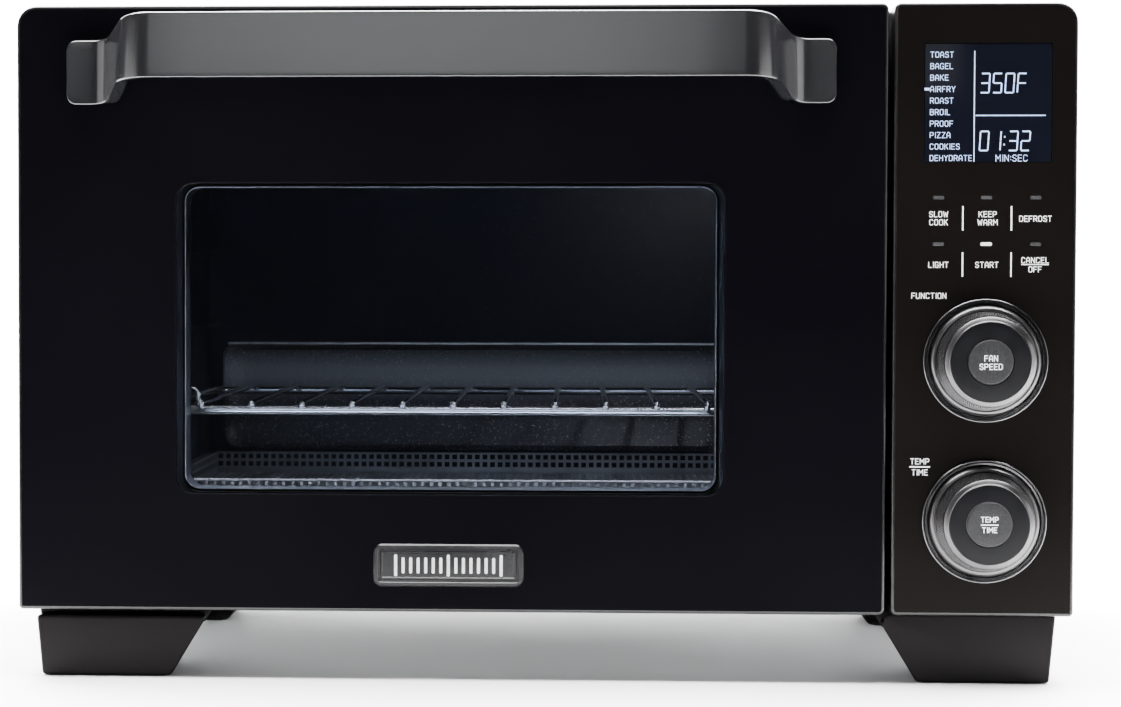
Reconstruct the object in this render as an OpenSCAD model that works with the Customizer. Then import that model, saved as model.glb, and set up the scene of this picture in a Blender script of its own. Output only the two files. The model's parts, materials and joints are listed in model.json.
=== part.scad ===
// Countertop toaster oven with a drop-down door and a side control column.
// Millimetres, +X right, +Y to the rear, +Z up. Origin: centre of the footprint, on the worktop.

/* [Overall] */
// Width over the door and the control column
overall_w = 502; // [500:1:504]
// Depth from the handle bar to the rear spacers
overall_d = 430; // [429:1:434]
// Height over the feet and the door
overall_h = 322; // [321:1:324]

/* [Door] */
// Width of the door
door_w = 413.7; // [412:0.1:415]
// Gap between the door and the control column
door_gap = 2.8; // [2:0.1:3.4]
// Depth of the door and of the control column
door_t = 33; // [32.5:0.1:33.5]
// Reach of the handle bar in front of the door
handle_reach = 48; // [46:1:50]

/* [Cavity] */
// Inside width of the cooking cavity
cavity_w = 309; // [306:1:310]
// Inside height of the cooking cavity
cavity_h = 238; // [234:1:240]
// Inside depth of the cooking cavity
cavity_d = 302; // [298:1:306]

/* [Knobs] */
// Diameter of the fixed bead ring around each knob
knob_ring_dia = 58.6; // [56:0.2:60]
// Diameter of the knob where it meets the ring
knob_dia = 50; // [48:0.5:51]
// Diameter of the knob's flat face
knob_face_dia = 38; // [36:0.5:40]
// Diameter of the push button in the knob
button_dia = 20.7; // [20:0.1:20.8]

/* [Feet] */
// Height of the feet
foot_h = 33; // [32:0.5:34]
// Height of the feet where the door swings over them
foot_front_h = 29.5; // [28:0.5:29.5]

/* [Hidden] */
$fn = 64;
eps = 0.01;

// Faces of the body
half_w = overall_w / 2;
face_y = -overall_d / 2 + handle_reach;
back_y = overall_d / 2 - 11;
spacer_y = overall_d / 2;
frame_y = face_y + door_t + 1.5;
sheet = 1;
cover_top = overall_h - 1;

// Door and control column
door_x0 = -half_w;
door_x1 = door_x0 + door_w;
panel_x0 = door_x1 + door_gap;
panel_x1 = half_w;
door_z0 = foot_h;
door_z1 = overall_h;
door_cx = (door_x0 + door_x1) / 2;
skin = 3;
skin_depth = 22;
liner_z0 = 38.5;
hinge_y = face_y + 7;
hinge_z = 38.5;
hinge_x = [-232, 144];

// Window through the door
window_w = 261.1;
window_z0 = 89.2;
window_z1 = 237.5;
window_r = 8.5;
tunnel_w = 254.2;
tunnel_z0 = 91.1;
tunnel_z1 = 236.1;

// Handle
handle_pad_x = 182;
handle_bar_x = 148;
handle_pad_z = 274.6;
handle_rise = 10.4;
handle_h = 30.5;
handle_t = 7;

// Cavity
cavity_cx = door_cx;
cavity_x0 = cavity_cx - cavity_w / 2;
cavity_x1 = cavity_cx + cavity_w / 2;
cavity_z0 = 64;
cavity_z1 = cavity_z0 + cavity_h;
cavity_y0 = frame_y + sheet;
cavity_y1 = cavity_y0 + cavity_d;
cavity_r = 14;
bump_z0 = 92;
bump_z1 = 154;
bump_depth = 20;
ledge_levels = [90.7, 124.3, 166, 208, 250];
ledge_w = 6;

// Convection fan, on the right-hand wall of the cavity
fan_y = 20;
fan_z = 186;
fan_r = 62;
shroud_depth = 26;
shaft_r = 3;

// Control column
knob_x = 208.9;
function_knob_z = 153.8;
temperature_knob_z = 77.9;
knob_height = 20;
stem_r = 6;
button_stem_r = 2.5;
button_bore_r = button_dia / 2 + 0.3;
display_x = [179.6, 239];
display_z = [247.2, 303];
led_columns = [186.5, 208.9, 231.9];
led_rows = [230.7, 208.8];
board_y = face_y + 16;
gland_r = 9;
pin_r = 2;

// Feet, as distances from the middle
foot_top = [159, 243.5];
foot_bottom = [179, 240.8];
foot_front_y = face_y + 7;
foot_rear_y = face_y + 245.6;
foot_depth = 56;
pad_h = 1.5;

// Colours
black_gloss = "#0d0d10";
black_matte = "#1c1b1b";
steel = "#8d9196";
dark_coating = "#2a2d38";
cover_grey = "#26262a";
glass_tint = "#30364880";

// ---------- Shared shapes ----------

// Box between two corners
module block(low, high) {
    translate(low) cube(high - low);
}

// Flat outline in X and Z, extruded from y0 to y1
module slab_y(y0, y1) {
    translate([0, y1, 0]) rotate([90, 0, 0]) linear_extrude(y1 - y0) children();
}

// Flat outline in Y and Z, extruded from x0 to x1
module slab_x(x0, x1) {
    translate([x0, 0, 0]) rotate([90, 0, 90]) linear_extrude(x1 - x0) children();
}

// Rounded rectangle between two corners; radii run from the low-left corner anticlockwise
module rounded(low, high, radii) {
    r = is_list(radii) ? radii : [radii, radii, radii, radii];
    polygon([
        [low.x + r[0], low.y], [high.x - r[1], low.y],
        [high.x, low.y + r[1]], [high.x, high.y - r[2]],
        [high.x - r[2], high.y], [low.x + r[3], high.y],
        [low.x, high.y - r[3]], [low.x, low.y + r[0]]
    ]);
    translate([low.x + r[0], low.y + r[0]]) circle(r[0]);
    translate([high.x - r[1], low.y + r[1]]) circle(r[1]);
    translate([high.x - r[2], high.y - r[2]]) circle(r[2]);
    translate([low.x + r[3], high.y - r[3]]) circle(r[3]);
}

// Ring-shaped outline with a constant wall
module rounded_ring(low, high, r, wall) {
    difference() {
        rounded(low, high, r);
        rounded(low + [wall, wall], high - [wall, wall], max(r - wall, 0.5));
    }
}

// Round bar along an axis, starting at a point
module bar_x(start, length, r) {
    translate(start) rotate([0, 90, 0]) cylinder(h = length, r = r);
}

module bar_y(start, length, r) {
    translate(start) rotate([-90, 0, 0]) cylinder(h = length, r = r);
}

// Row of slots cut through a wall that faces along X
module slots_in_x_wall(x, y0, z_list, length, height) {
    for (z = z_list) block([x - 3, y0, z], [x + 3, y0 + length, z + height]);
}

// Screw with a pan head at the given point, its shank along +Y
module screw_y(p, head_r, shank_r, shank_l) {
    bar_y([p.x, p.y - head_r * 0.5, p.z], head_r * 0.5, head_r);
    bar_y([p.x, p.y - eps, p.z], shank_l, shank_r);
}

// ---------- Housing ----------

cover_x = half_w - 2;
cover_z0 = foot_h + 0.4;
cover_r = 9;

// Sheet-steel cover over the top and both sides, open below, with louvres in the sides
module outer_cover() {
    color(cover_grey) difference() {
        slab_y(frame_y + sheet, back_y) difference() {
            rounded([-cover_x, cover_z0 - 20], [cover_x, cover_top], [1, 1, cover_r, cover_r]);
            rounded([-cover_x + sheet, cover_z0 - 22], [cover_x - sheet, cover_top - sheet],
                    [1, 1, cover_r - sheet, cover_r - sheet]);
            translate([-half_w, cover_z0 - 40]) square([overall_w, 40]);
        }
        for (side = [-1, 1])
            for (bank = [40, 130])
                slots_in_x_wall(side * cover_x, bank, [for (i = [0:6]) 228 + 9 * i], 62, 3);
        for (side = [-1, 1])
            slots_in_x_wall(side * cover_x, 40, [for (i = [0:3]) 52 + 9 * i], 62, 3);
    }
}

// Pressed floor of the housing with upturned side flanges
module base_pan() {
    inner_x = cover_x - sheet - 0.2;
    color(steel) difference() {
        union() {
            block([-inner_x, frame_y + sheet, foot_h], [inner_x, back_y, foot_h + 1.2]);
            for (side = [-1, 1])
                block([min(side * inner_x, side * (inner_x - sheet)), frame_y + sheet, foot_h],
                      [max(side * inner_x, side * (inner_x - sheet)), back_y, foot_h + 10]);
        }
        for (i = [0:6])
            block([-150 + 34 * i, -20, foot_h - 1], [-132 + 34 * i, 60, foot_h + 2]);
    }
}

cover_screw_x = [-235, 0, 235];
cover_screw_z = [48, 312];

// Rear sheet with vents beside the cavity
module rear_cover() {
    color(cover_grey) difference() {
        slab_y(back_y, back_y + sheet)
            rounded([-cover_x, foot_h], [cover_x, cover_top], [1, 1, cover_r, cover_r]);
        for (i = [0:9])
            block([130, back_y - 1, 190 + 9 * i], [226, back_y + 2, 193 + 9 * i]);
        for (i = [0:5])
            block([-150, back_y - 1, 240 + 9 * i], [62, back_y + 2, 243 + 9 * i]);
        bar_y([190, back_y - 1, 74], 3, gland_r);
        for (x = cover_screw_x, z = cover_screw_z) bar_y([x, back_y - 1, z], 3, 1.7);
    }
}

// Two bumpers that keep the rear of the oven off a wall
module rear_spacers() {
    color(black_matte) for (x = [-190, 190])
        difference() {
            slab_y(back_y + sheet, spacer_y) rounded([x - 16, 262], [x + 16, 302], 6);
            slab_y(back_y + sheet + 4, spacer_y + 1) rounded([x - 12, 266], [x + 12, 298], 3);
        }
}

// Face frame around the mouth of the cavity and behind the control column
module front_frame() {
    color(steel) difference() {
        slab_y(frame_y, frame_y + sheet)
            rounded([-cover_x, foot_h], [cover_x, cover_top], [1, 1, cover_r, cover_r]);
        slab_y(frame_y - 1, frame_y + 2)
            rounded([cavity_x0, cavity_z0], [cavity_x1, cavity_z1], cavity_r);
        block([panel_x0 + 8, frame_y - 1, 60], [panel_x1 - 12, frame_y + 2, 308]);
        for (x = hinge_x)
            block([x - 2.2, frame_y - 1, hinge_z - 3.8], [x + 2.2, frame_y + 2, hinge_z + 3.8]);
    }
}

// Screws that hold the rear cover
module cover_screws() {
    color(steel) for (x = cover_screw_x, z = cover_screw_z)
        mirror([0, 1, 0]) screw_y([x, -back_y - sheet, z], 4, 1.6, sheet - 0.1);
}

// ---------- Cavity ----------

// Coated liner: floor, roof and side walls, with the fan inlet in the right-hand wall
module cavity_liner() {
    color(dark_coating) difference() {
        slab_y(cavity_y0, cavity_y1)
            rounded_ring([cavity_x0 - sheet, cavity_z0 - sheet],
                         [cavity_x1 + sheet, cavity_z1 + sheet], cavity_r + sheet, sheet);
        for (ring = [1:4], k = [0:ring * 6 - 1])
            bar_x([cavity_x1 - 2, fan_y + ring * 11 * cos(k * 60 / ring),
                   fan_z + ring * 11 * sin(k * 60 / ring)], 5, 3.2);
        bar_x([cavity_x1 - 2, fan_y, fan_z], 5, 3.2);
        bar_x([cavity_x1 - 2, lamp_at.x, lamp_at.y], 5, 12.5);
        bar_x([cavity_x0 - 3, 60, 262], 5, 3);
    }
}

// Rear wall of the cavity, dished to the rear so that a round pizza fits
module cavity_back() {
    color(dark_coating) difference() {
        union() {
            slab_y(cavity_y1, cavity_y1 + sheet)
                rounded([cavity_x0 - sheet, cavity_z0 - sheet],
                        [cavity_x1 + sheet, cavity_z1 + sheet], cavity_r + sheet);
            slab_y(cavity_y1, cavity_y1 + bump_depth)
                rounded([cavity_x0 + 8, bump_z0], [cavity_x1 - 8, bump_z1], 10);
        }
        slab_y(cavity_y1 - 1, cavity_y1 + bump_depth - sheet)
            rounded([cavity_x0 + 9, bump_z0 + 1], [cavity_x1 - 9, bump_z1 - 1], 9);
    }
}

// Folded ledges on both side walls that carry the rack and the basket
module rack_guides() {
    color(dark_coating) for (z = ledge_levels) {
        block([cavity_x0, cavity_y0 + 12, z - 2.5], [cavity_x0 + ledge_w, cavity_y1 - 8, z]);
        block([cavity_x1 - ledge_w, cavity_y0 + 12, z - 2.5], [cavity_x1, cavity_y1 - 8, z]);
    }
    color(dark_coating) for (x = [cavity_x0 + 24, cavity_x1 - 30])
        block([x, cavity_y0 + 12, cavity_z0], [x + 6, cavity_y1 - 20, tray_z - 0.3]);
}

element_r = 3.5;
upper_element_y = [face_y + 84, face_y + 190, face_y + 296];
lower_element_y = [face_y + 120, face_y + 262];
upper_element_z = cavity_z1 - 16;
lower_element_z = 74;
lamp_at = [face_y + 78, 265.7];
tray_z = 66.8;

module element_rod(y, z) {
    bar_x([cavity_x0 + 6, y, z], cavity_w - 12, element_r);
}

// Rod elements under the roof
module upper_elements() {
    color("#b9b4ac") for (y = upper_element_y) element_rod(y, upper_element_z);
}

// Rod elements above the crumb tray
module lower_elements() {
    color("#b9b4ac") for (y = lower_element_y) element_rod(y, lower_element_z);
}

// Ceramic caps that hold the rods at the side walls
module element_insulators() {
    color("#d8d4c8") intersection() {
        union() {
            for (y = upper_element_y) element_caps(y, upper_element_z);
            for (y = lower_element_y) element_caps(y, lower_element_z);
        }
        slab_y(cavity_y0, cavity_y1)
            rounded([cavity_x0, cavity_z0], [cavity_x1, cavity_z1], cavity_r + 1);
    }
}

module element_caps(y, z) {
    bar_x([cavity_x0, y, z], 6, element_r + 1.2);
    bar_x([cavity_x1 - 6, y, z], 6, element_r + 1.2);
}

// Thin sensor rod that stands out of the left-hand wall
module temperature_probe() {
    color(steel) {
        bar_x([cavity_x0 - sheet - 12, 60, 262], 21, 2.4);
        bar_x([cavity_x0 - sheet - 5, 60, 262], 5, 6);
    }
}

// Lamp holder and bulb behind the right-hand wall
module oven_lamp() {
    color("#e9e2cf") {
        difference() {
            bar_x([cavity_x1 + sheet, lamp_at.x, lamp_at.y], 18, 17);
            bar_x([cavity_x1, lamp_at.x, lamp_at.y], 16, 13);
        }
        bar_x([cavity_x1 + sheet + 17, lamp_at.x, lamp_at.y], 22, 10);
        bar_x([cavity_x1 + 4, lamp_at.x, lamp_at.y], 15, 7);
    }
}

// Glass cover of the lamp, set in the wall
module lamp_lens() {
    color("#f4f6f8a0") difference() {
        union() {
            bar_x([cavity_x1 - 3, lamp_at.x, lamp_at.y], 4 + sheet, 12.2);
            bar_x([cavity_x1 - 3, lamp_at.x, lamp_at.y], 3, 15);
        }
        bar_x([cavity_x1 - 1, lamp_at.x, lamp_at.y], 10, 10.5);
    }
}

// ---------- Convection fan ----------

// Shallow can around the impeller
module fan_shroud() {
    color(steel) difference() {
        bar_x([cavity_x1 + sheet, fan_y, fan_z], shroud_depth, fan_r + 5);
        bar_x([cavity_x1, fan_y, fan_z], shroud_depth, fan_r + 4);
        bar_x([cavity_x1, fan_y, fan_z], shroud_depth + 3, 9);
    }
}

motor_x0 = cavity_x1 + sheet + shroud_depth;

// Shaded-pole motor behind the can
module fan_motor() {
    color("#6e6a62") difference() {
        union() {
            bar_x([motor_x0, fan_y, fan_z], 34, 30);
            block([motor_x0, fan_y - 34, fan_z - 12], [motor_x0 + 3, fan_y + 34, fan_z + 12]);
        }
        bar_x([motor_x0 - 1, fan_y, fan_z], 40, shaft_r + 0.05);
    }
}

// Impeller with eight radial blades
module convection_fan() {
    color("#a8abb0") difference() {
        union() {
            bar_x([cavity_x1 + 6, fan_y, fan_z], 18, 9);
            bar_x([cavity_x1 + 22, fan_y, fan_z], 1.2, 40);
            for (a = [0:45:315])
                translate([0, fan_y, fan_z]) rotate([a, 0, 0])
                    block([cavity_x1 + 7, -0.6, 7], [cavity_x1 + 22.5, 0.6, fan_r - 5]);
        }
        bar_x([cavity_x1 + 5, fan_y, fan_z], 20, shaft_r);
    }
}

// Motor shaft that carries the impeller
module fan_shaft() {
    color(steel) bar_x([cavity_x1 + 5, fan_y, fan_z], 56, shaft_r);
}

// ---------- Control column ----------

panel_wall = 1.5;
led_w = 5.4;
led_h = 1.9;

module led_blocks(y0, y1, grow) {
    for (x = led_columns, z = led_rows)
        block([x - led_w / 2 - grow, y0, z - led_h / 2 - grow],
              [x + led_w / 2 + grow, y1, z + led_h / 2 + grow]);
}

// Front shell of the control column
module control_panel() {
    color(black_gloss) difference() {
        union() {
            difference() {
                slab_y(face_y, frame_y)
                    rounded([panel_x0, foot_h], [panel_x1, overall_h], [3, 2, 10.5, 3]);
                slab_y(face_y + skin, frame_y + 1)
                    rounded([panel_x0 + panel_wall, foot_h + panel_wall],
                            [panel_x1 - panel_wall, overall_h - panel_wall], [1.5, 1, 9, 1.5]);
            }
            for (x = [177, 241], z = [50, 116, 180])
                bar_y([x, face_y + skin - eps, z], board_y - face_y - skin, 3);
        }
        block([display_x[0], face_y - 1, display_z[0]],
              [display_x[1], face_y + skin + 1, display_z[1]]);
        for (z = [function_knob_z, temperature_knob_z])
            bar_y([knob_x, face_y - 1, z], skin + 2, stem_r + 0.6);
        led_blocks(face_y - 1, face_y + skin + 1, 0);
    }
}

// Glass over the display
module display_lens() {
    color("#101826") block([display_x[0], face_y + 0.2, display_z[0]],
                           [display_x[1], face_y + skin, display_z[1]]);
}

// Display unit behind its glass
module display_module() {
    color("#3a3f46") block([display_x[0] - 2, face_y + skin, display_z[0] - 2],
                           [display_x[1] + 2, face_y + 9, display_z[1] + 2]);
}

// Touch sensor board behind the labels
module touch_board() {
    color("#1f5a35") block([172, face_y + 6, 186], [246, face_y + 7.6, 241]);
}

// Six light pipes that end flush with the panel
module led_light_pipes() {
    color("#dfe6ee") led_blocks(face_y + 0.1, face_y + 6, 0);
}

// Main control board
module control_board() {
    color("#1f5a35") block([172, board_y, 46], [246, board_y + 1.6, 236]);
}

// Encoder with a push switch, bored for the knob's stem
module encoder(z) {
    difference() {
        block([knob_x - 9, face_y + 5, z - 9], [knob_x + 9, board_y, z + 9]);
        bar_y([knob_x, face_y + 4, z], 10.5, stem_r + 0.05);
    }
}

module function_encoder() {
    color("#4a4d52") encoder(function_knob_z);
}

module temperature_encoder() {
    color("#4a4d52") encoder(temperature_knob_z);
}

// Solid of revolution about an axis that points out of the panel
module lathe_y(z) {
    translate([knob_x, face_y, z]) rotate([90, 0, 0]) rotate_extrude() children();
}

// Fixed bead ring around a knob
module knob_ring(z) {
    lathe_y(z) difference() {
        polygon([[26.6, 0], [knob_ring_dia / 2, 0], [knob_ring_dia / 2, 1.6],
                 [knob_ring_dia / 2 - 0.8, 2.4], [26.6, 2.4]]);
    }
}

module function_knob_ring() {
    color(steel) knob_ring(function_knob_z);
}

module temperature_knob_ring() {
    color(steel) knob_ring(temperature_knob_z);
}

// Tapered knob with a hollow stem and a bore for the push button
module knob(z) {
    rim = knob_dia / 2 + 1;
    shoulder = (knob_dia / 2 + knob_face_dia / 2) / 2;
    lathe_y(z) polygon([
        [button_stem_r + 0.3, -12], [stem_r, -12], [stem_r, 0.4], [rim, 0.4], [rim, 2.4],
        [knob_dia / 2, 2.6], [shoulder, knob_height - 2], [knob_face_dia / 2, knob_height],
        [button_bore_r, knob_height], [button_bore_r, 8], [button_stem_r + 0.3, 8]
    ]);
}

module function_knob() {
    color(black_matte) knob(function_knob_z);
}

module temperature_knob() {
    color(black_matte) knob(temperature_knob_z);
}

// Push button in the middle of a knob, with a stem down to the switch
module push_button(z) {
    r = button_dia / 2;
    top = knob_height + 0.6;
    lathe_y(z) polygon([
        [0, -12.9], [button_stem_r, -12.9], [button_stem_r, 9.8], [r, 9.8],
        [r, top - 0.8], [r - 0.8, top], [0, top]
    ]);
}

module function_button() {
    color("#6d6d70") push_button(function_knob_z);
}

module temperature_button() {
    color("#6d6d70") push_button(temperature_knob_z);
}

// ---------- Electronics ----------

// Power board on posts from the right-hand side wall
module power_board() {
    color("#b5a25a") {
        block([232, -70, 60], [233.6, 90, 170]);
        for (y = [-62, 82], z = [68, 162])
            bar_x([233.6 - eps, y, z], cover_x - sheet - 233.6 + eps, 3);
        for (y = [20, 46]) bar_x([206, y, 90], 26 + eps, 9);
        block([210, 64, 110], [232 + eps, 84, 160]);
    }
}

// Relays on the power board
module relays() {
    color("#2b5fae") for (y = [-60, -34, -8]) block([214, y, 126], [232, y + 20, 154]);
}

// Low-voltage transformer on the floor
module transformer() {
    color("#7a7468") {
        block([180, 110, foot_h + 1.2], [228, 154, foot_h + 5]);
        block([186, 114, foot_h + 5 - eps], [222, 150, foot_h + 44]);
    }
}

// Sealed switch that senses the closed door
module door_switch() {
    color(black_matte) block([128, frame_y + sheet, 272], [142, frame_y + 24, 300]);
}

// Bushing where the mains lead enters
module cord_gland() {
    color(black_matte) difference() {
        union() {
            bar_y([190, back_y - 10, 74], 16, gland_r - 0.05);
            bar_y([190, back_y + sheet, 74], 5, gland_r + 4);
            bar_y([190, back_y - 6, 74], 6, gland_r + 3);
        }
        bar_y([190, back_y - 11, 74], 20, 4);
    }
}

// ---------- Feet ----------

module foot_outline(side, top_z) {
    slope_outer = (foot_top[1] - foot_bottom[1]) / foot_h;
    slope_inner = (foot_top[0] - foot_bottom[0]) / foot_h;
    polygon([
        [side * foot_bottom[0], pad_h], [side * foot_bottom[1], pad_h],
        [side * (foot_bottom[1] + slope_outer * top_z), top_z],
        [side * (foot_bottom[0] + slope_inner * top_z), top_z]
    ]);
}

// Front foot, lower where the door swings over it
module front_foot(side) {
    color(black_matte) {
        slab_y(foot_front_y, foot_front_y + foot_depth) foot_outline(side, foot_front_h);
        slab_y(frame_y + sheet, foot_front_y + foot_depth) foot_outline(side, foot_h);
    }
}

module rear_foot(side) {
    color(black_matte)
        slab_y(foot_rear_y, foot_rear_y + foot_depth) foot_outline(side, foot_h);
}

module foot_front_left() {
    front_foot(-1);
}

module foot_front_right() {
    front_foot(1);
}

module foot_rear_left() {
    rear_foot(-1);
}

module foot_rear_right() {
    rear_foot(1);
}

// Soft pads under the feet
module foot_pads() {
    mid = (foot_bottom[0] + foot_bottom[1]) / 2;
    color("#141414") for (side = [-1, 1], y = [foot_front_y, foot_rear_y])
        block([side * mid - 28, y + 3, 0], [side * mid + 28, y + foot_depth - 3, pad_h]);
}

// ---------- Door hinge ----------

// Arms on the floor that reach into the door and hold the pins
module hinge_brackets() {
    color(steel) for (x = hinge_x) difference() {
        slab_x(x - 2, x + 2) {
            translate([hinge_y, hinge_z]) circle(3.6);
            translate([hinge_y, hinge_z - 3.6]) square([frame_y + 26 - hinge_y, 7.2]);
            translate([frame_y + 1.2, foot_h + 1.2]) square([24.8, 28]);
        }
        bar_x([x - 3, hinge_y, hinge_z], 6, pin_r + 0.05);
    }
}

// Cheek plates inside the door, one on each side of both arms
module hinge_cheeks() {
    color(steel) for (x = hinge_x, side = [-1, 1]) difference() {
        slab_x(x + side * 4 - 1, x + side * 4 + 1)
            translate([face_y + skin + 0.3, hinge_z - 3.6])
                square([door_t - skin - 1.5, 30]);
        bar_x([x - 8, hinge_y, hinge_z], 16, pin_r);
    }
}

module hinge_pins() {
    color(steel) for (x = hinge_x) bar_x([x - 6, hinge_y, hinge_z], 12, pin_r);
}

// ---------- Door ----------

window_x = [door_cx - window_w / 2, door_cx + window_w / 2];
tunnel_x = [door_cx - tunnel_w / 2, door_cx + tunnel_w / 2];
glass_t = 4;
screw_dx = 172;
screw_z = [282, 298];

// Front shell of the door, with the window and slots for the hinge arms
module door_panel() {
    color(black_gloss) difference() {
        slab_y(face_y, face_y + skin_depth)
            rounded([door_x0, door_z0], [door_x1, door_z1], [2, 3, 3, 9.5]);
        slab_y(face_y + skin, face_y + skin_depth + 1)
            rounded([door_x0 + panel_wall, door_z0 + panel_wall],
                    [door_x1 - panel_wall, door_z1 - panel_wall], [1, 1.5, 1.5, 8]);
        slab_y(face_y - 1, face_y + skin + 1)
            rounded([window_x[0], window_z0], [window_x[1], window_z1], window_r);
        for (x = hinge_x)
            block([x - 3, face_y + skin, door_z0 - 1], [x + 3, face_y + skin_depth + 1, 40]);
        for (side = [-1, 1], z = screw_z)
            bar_y([door_cx + side * screw_dx, face_y - 1, z], skin + 2, 2.2);
        slab_x(door_x0 - 1, door_x1 + 1) difference() {
            translate([face_y - 1, door_z0 - 1]) square(3);
            translate([face_y + 2, door_z0 + 2]) circle(2);
        }
    }
}

// Inner shell of the door: rim, rear plate and the walls of the window tunnel
module door_liner() {
    low = [door_x0 + panel_wall + 0.2, liner_z0];
    high = [door_x1 - panel_wall - 0.2, door_z1 - panel_wall - 0.2];
    color("#5a5f66") difference() {
        union() {
            slab_y(face_y + 18, face_y + door_t) rounded_ring(low, high, 8.5, 1.2);
            slab_y(face_y + door_t - 1.2, face_y + door_t) rounded(low, high, 8.5);
            slab_y(face_y + skin + glass_t, face_y + door_t)
                rounded([tunnel_x[0] - 1.2, tunnel_z0 - 1.2],
                        [tunnel_x[1] + 1.2, tunnel_z1 + 1.2], window_r);
        }
        slab_y(face_y, face_y + door_t + 1)
            rounded([tunnel_x[0], tunnel_z0], [tunnel_x[1], tunnel_z1], window_r - 1.2);
        for (x = hinge_x)
            block([x - 3, face_y, liner_z0 - 1], [x + 3, face_y + door_t + 1, 43]);
        for (x = hinge_x)
            block([x - 5.1, face_y, liner_z0 - 1], [x + 5.1, face_y + door_t - 1.2, liner_z0 + 1.3]);
    }
}

module door_outer_glass() {
    color(glass_tint) slab_y(face_y + skin, face_y + skin + glass_t)
        rounded([window_x[0] - 10, window_z0 - 10], [window_x[1] + 10, window_z1 + 10], 6);
}

module door_inner_glass() {
    color(glass_tint) slab_y(face_y + door_t - 4, face_y + door_t - 1)
        rounded([tunnel_x[0], tunnel_z0], [tunnel_x[1], tunnel_z1], window_r - 1.2);
}

// Soft bead around the mouth of the cavity that the door closes on
module door_gasket() {
    color("#3b3b3d") slab_y(frame_y - 1.2, frame_y)
        rounded_ring([cavity_x0 - 9, cavity_z0 - 9], [cavity_x1 + 9, cavity_z1 + 9],
                     cavity_r + 9, 5);
}

// Strip handle: pads on the door, arms that rise forwards, and the bar
module door_handle() {
    bar_z = handle_pad_z + handle_rise;
    color(black_gloss) difference() {
        union() {
            block([door_cx - handle_bar_x, face_y - handle_reach, bar_z],
                  [door_cx + handle_bar_x, face_y - handle_reach + handle_t, bar_z + handle_h]);
            for (side = [-1, 1]) translate([door_cx, 0, 0]) scale_side(side) handle_arm(bar_z);
        }
        for (side = [-1, 1], z = screw_z)
            bar_y([door_cx + side * screw_dx, face_y - 3, z], 4, 2.05);
    }
}

module scale_side(side) {
    if (side > 0) children();
    else mirror([1, 0, 0]) children();
}

// One arm and its pad, on the right-hand side
module handle_arm(bar_z) {
    block([handle_pad_x - 20, face_y - 4, handle_pad_z],
          [handle_pad_x, face_y, handle_pad_z + handle_h]);
    hull() {
        block([handle_pad_x - 22, face_y - 6, handle_pad_z],
              [handle_pad_x - 15, face_y - 1, handle_pad_z + handle_h]);
        block([handle_bar_x - 6, face_y - handle_reach, bar_z],
              [handle_bar_x, face_y - handle_reach + handle_t, bar_z + handle_h]);
    }
}

// Screws through the door skin into the handle pads
module handle_screws() {
    color(steel) for (side = [-1, 1], z = screw_z) {
        bar_y([door_cx + side * screw_dx, face_y - 2.8, z], skin + 2.8 + eps, 2);
        bar_y([door_cx + side * screw_dx, face_y + skin, z], 2.2, 4);
    }
}

// Raised plate on the lower rail
module badge_plate() {
    color(steel) slab_y(face_y - 1.2, face_y)
        rounded([door_cx - 35.9, 45.1], [door_cx + 35.9, 65.6], 2.5);
}

// ---------- Loose oven ware ----------

rack_bar_r = 2.2;
rack_wire_r = 1.5;
rack_pitch = 25;
rack_z = ledge_levels[1] + 0.3 + rack_bar_r;
rack_y = [face_y + 55, face_y + 318];
ware_w = cavity_w - 2 * 4.5;

// Wire rack: a frame of thick bars with thinner wires from front to rear
module wire_rack() {
    color("#b9bcc0") {
        for (y = rack_y)
            bar_x([cavity_cx - ware_w / 2, y, rack_z], ware_w, rack_bar_r);
        for (side = [-1, 1])
            bar_y([cavity_cx + side * ware_w / 2, rack_y[0], rack_z],
                  rack_y[1] - rack_y[0], rack_bar_r);
        for (side = [-1, 1], y = rack_y)
            translate([cavity_cx + side * ware_w / 2, y, rack_z]) sphere(rack_bar_r);
        for (i = [-5:5])
            bar_y([cavity_cx + i * rack_pitch, rack_y[0] - 3, rack_z + 3],
                  rack_y[1] - rack_y[0] + 6, rack_wire_r);
    }
}

basket_top = ledge_levels[0] + 1.3;
basket_z = 79.8;
basket_y = [face_y + 55, face_y + 287];
basket_wall = 1.2;

// Air-fry basket: a shallow pan that hangs by its rim, with openings in its floor
module air_fry_basket() {
    rim_x = ware_w / 2 + 1;
    pan_x = cavity_w / 2 - ledge_w - 1.5;
    low = [cavity_cx - pan_x, basket_y[0], basket_z];
    high = [cavity_cx + pan_x, basket_y[1], basket_top];
    color("#85888d") difference() {
        union() {
            block(low, high);
            block([cavity_cx - rim_x, basket_y[0], basket_top - 1],
                  [cavity_cx + rim_x, basket_y[1], basket_top]);
        }
        block(low + [basket_wall, basket_wall, basket_wall],
              high + [-basket_wall, -basket_wall, 1]);
        for (i = [0:9], j = [0:6])
            block([low.x + 14 + 27 * i, low.y + 16 + 30 * j, basket_z - 1],
                  [low.x + 34 + 27 * i, low.y + 38 + 30 * j, basket_z + 2]);
    }
}

// Crumb tray under the lower elements
module crumb_tray() {
    x0 = cavity_x0 + 9;
    x1 = cavity_x1 - 9;
    y0 = face_y + 46;
    color(steel) {
        difference() {
            block([x0, y0, tray_z], [x1, y0 + 250, tray_z + 2.8]);
            block([x0 + 1, y0 + 1, tray_z + 0.8], [x1 - 1, y0 + 249, tray_z + 4]);
        }
    }
}

// ---------- Output ----------

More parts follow.
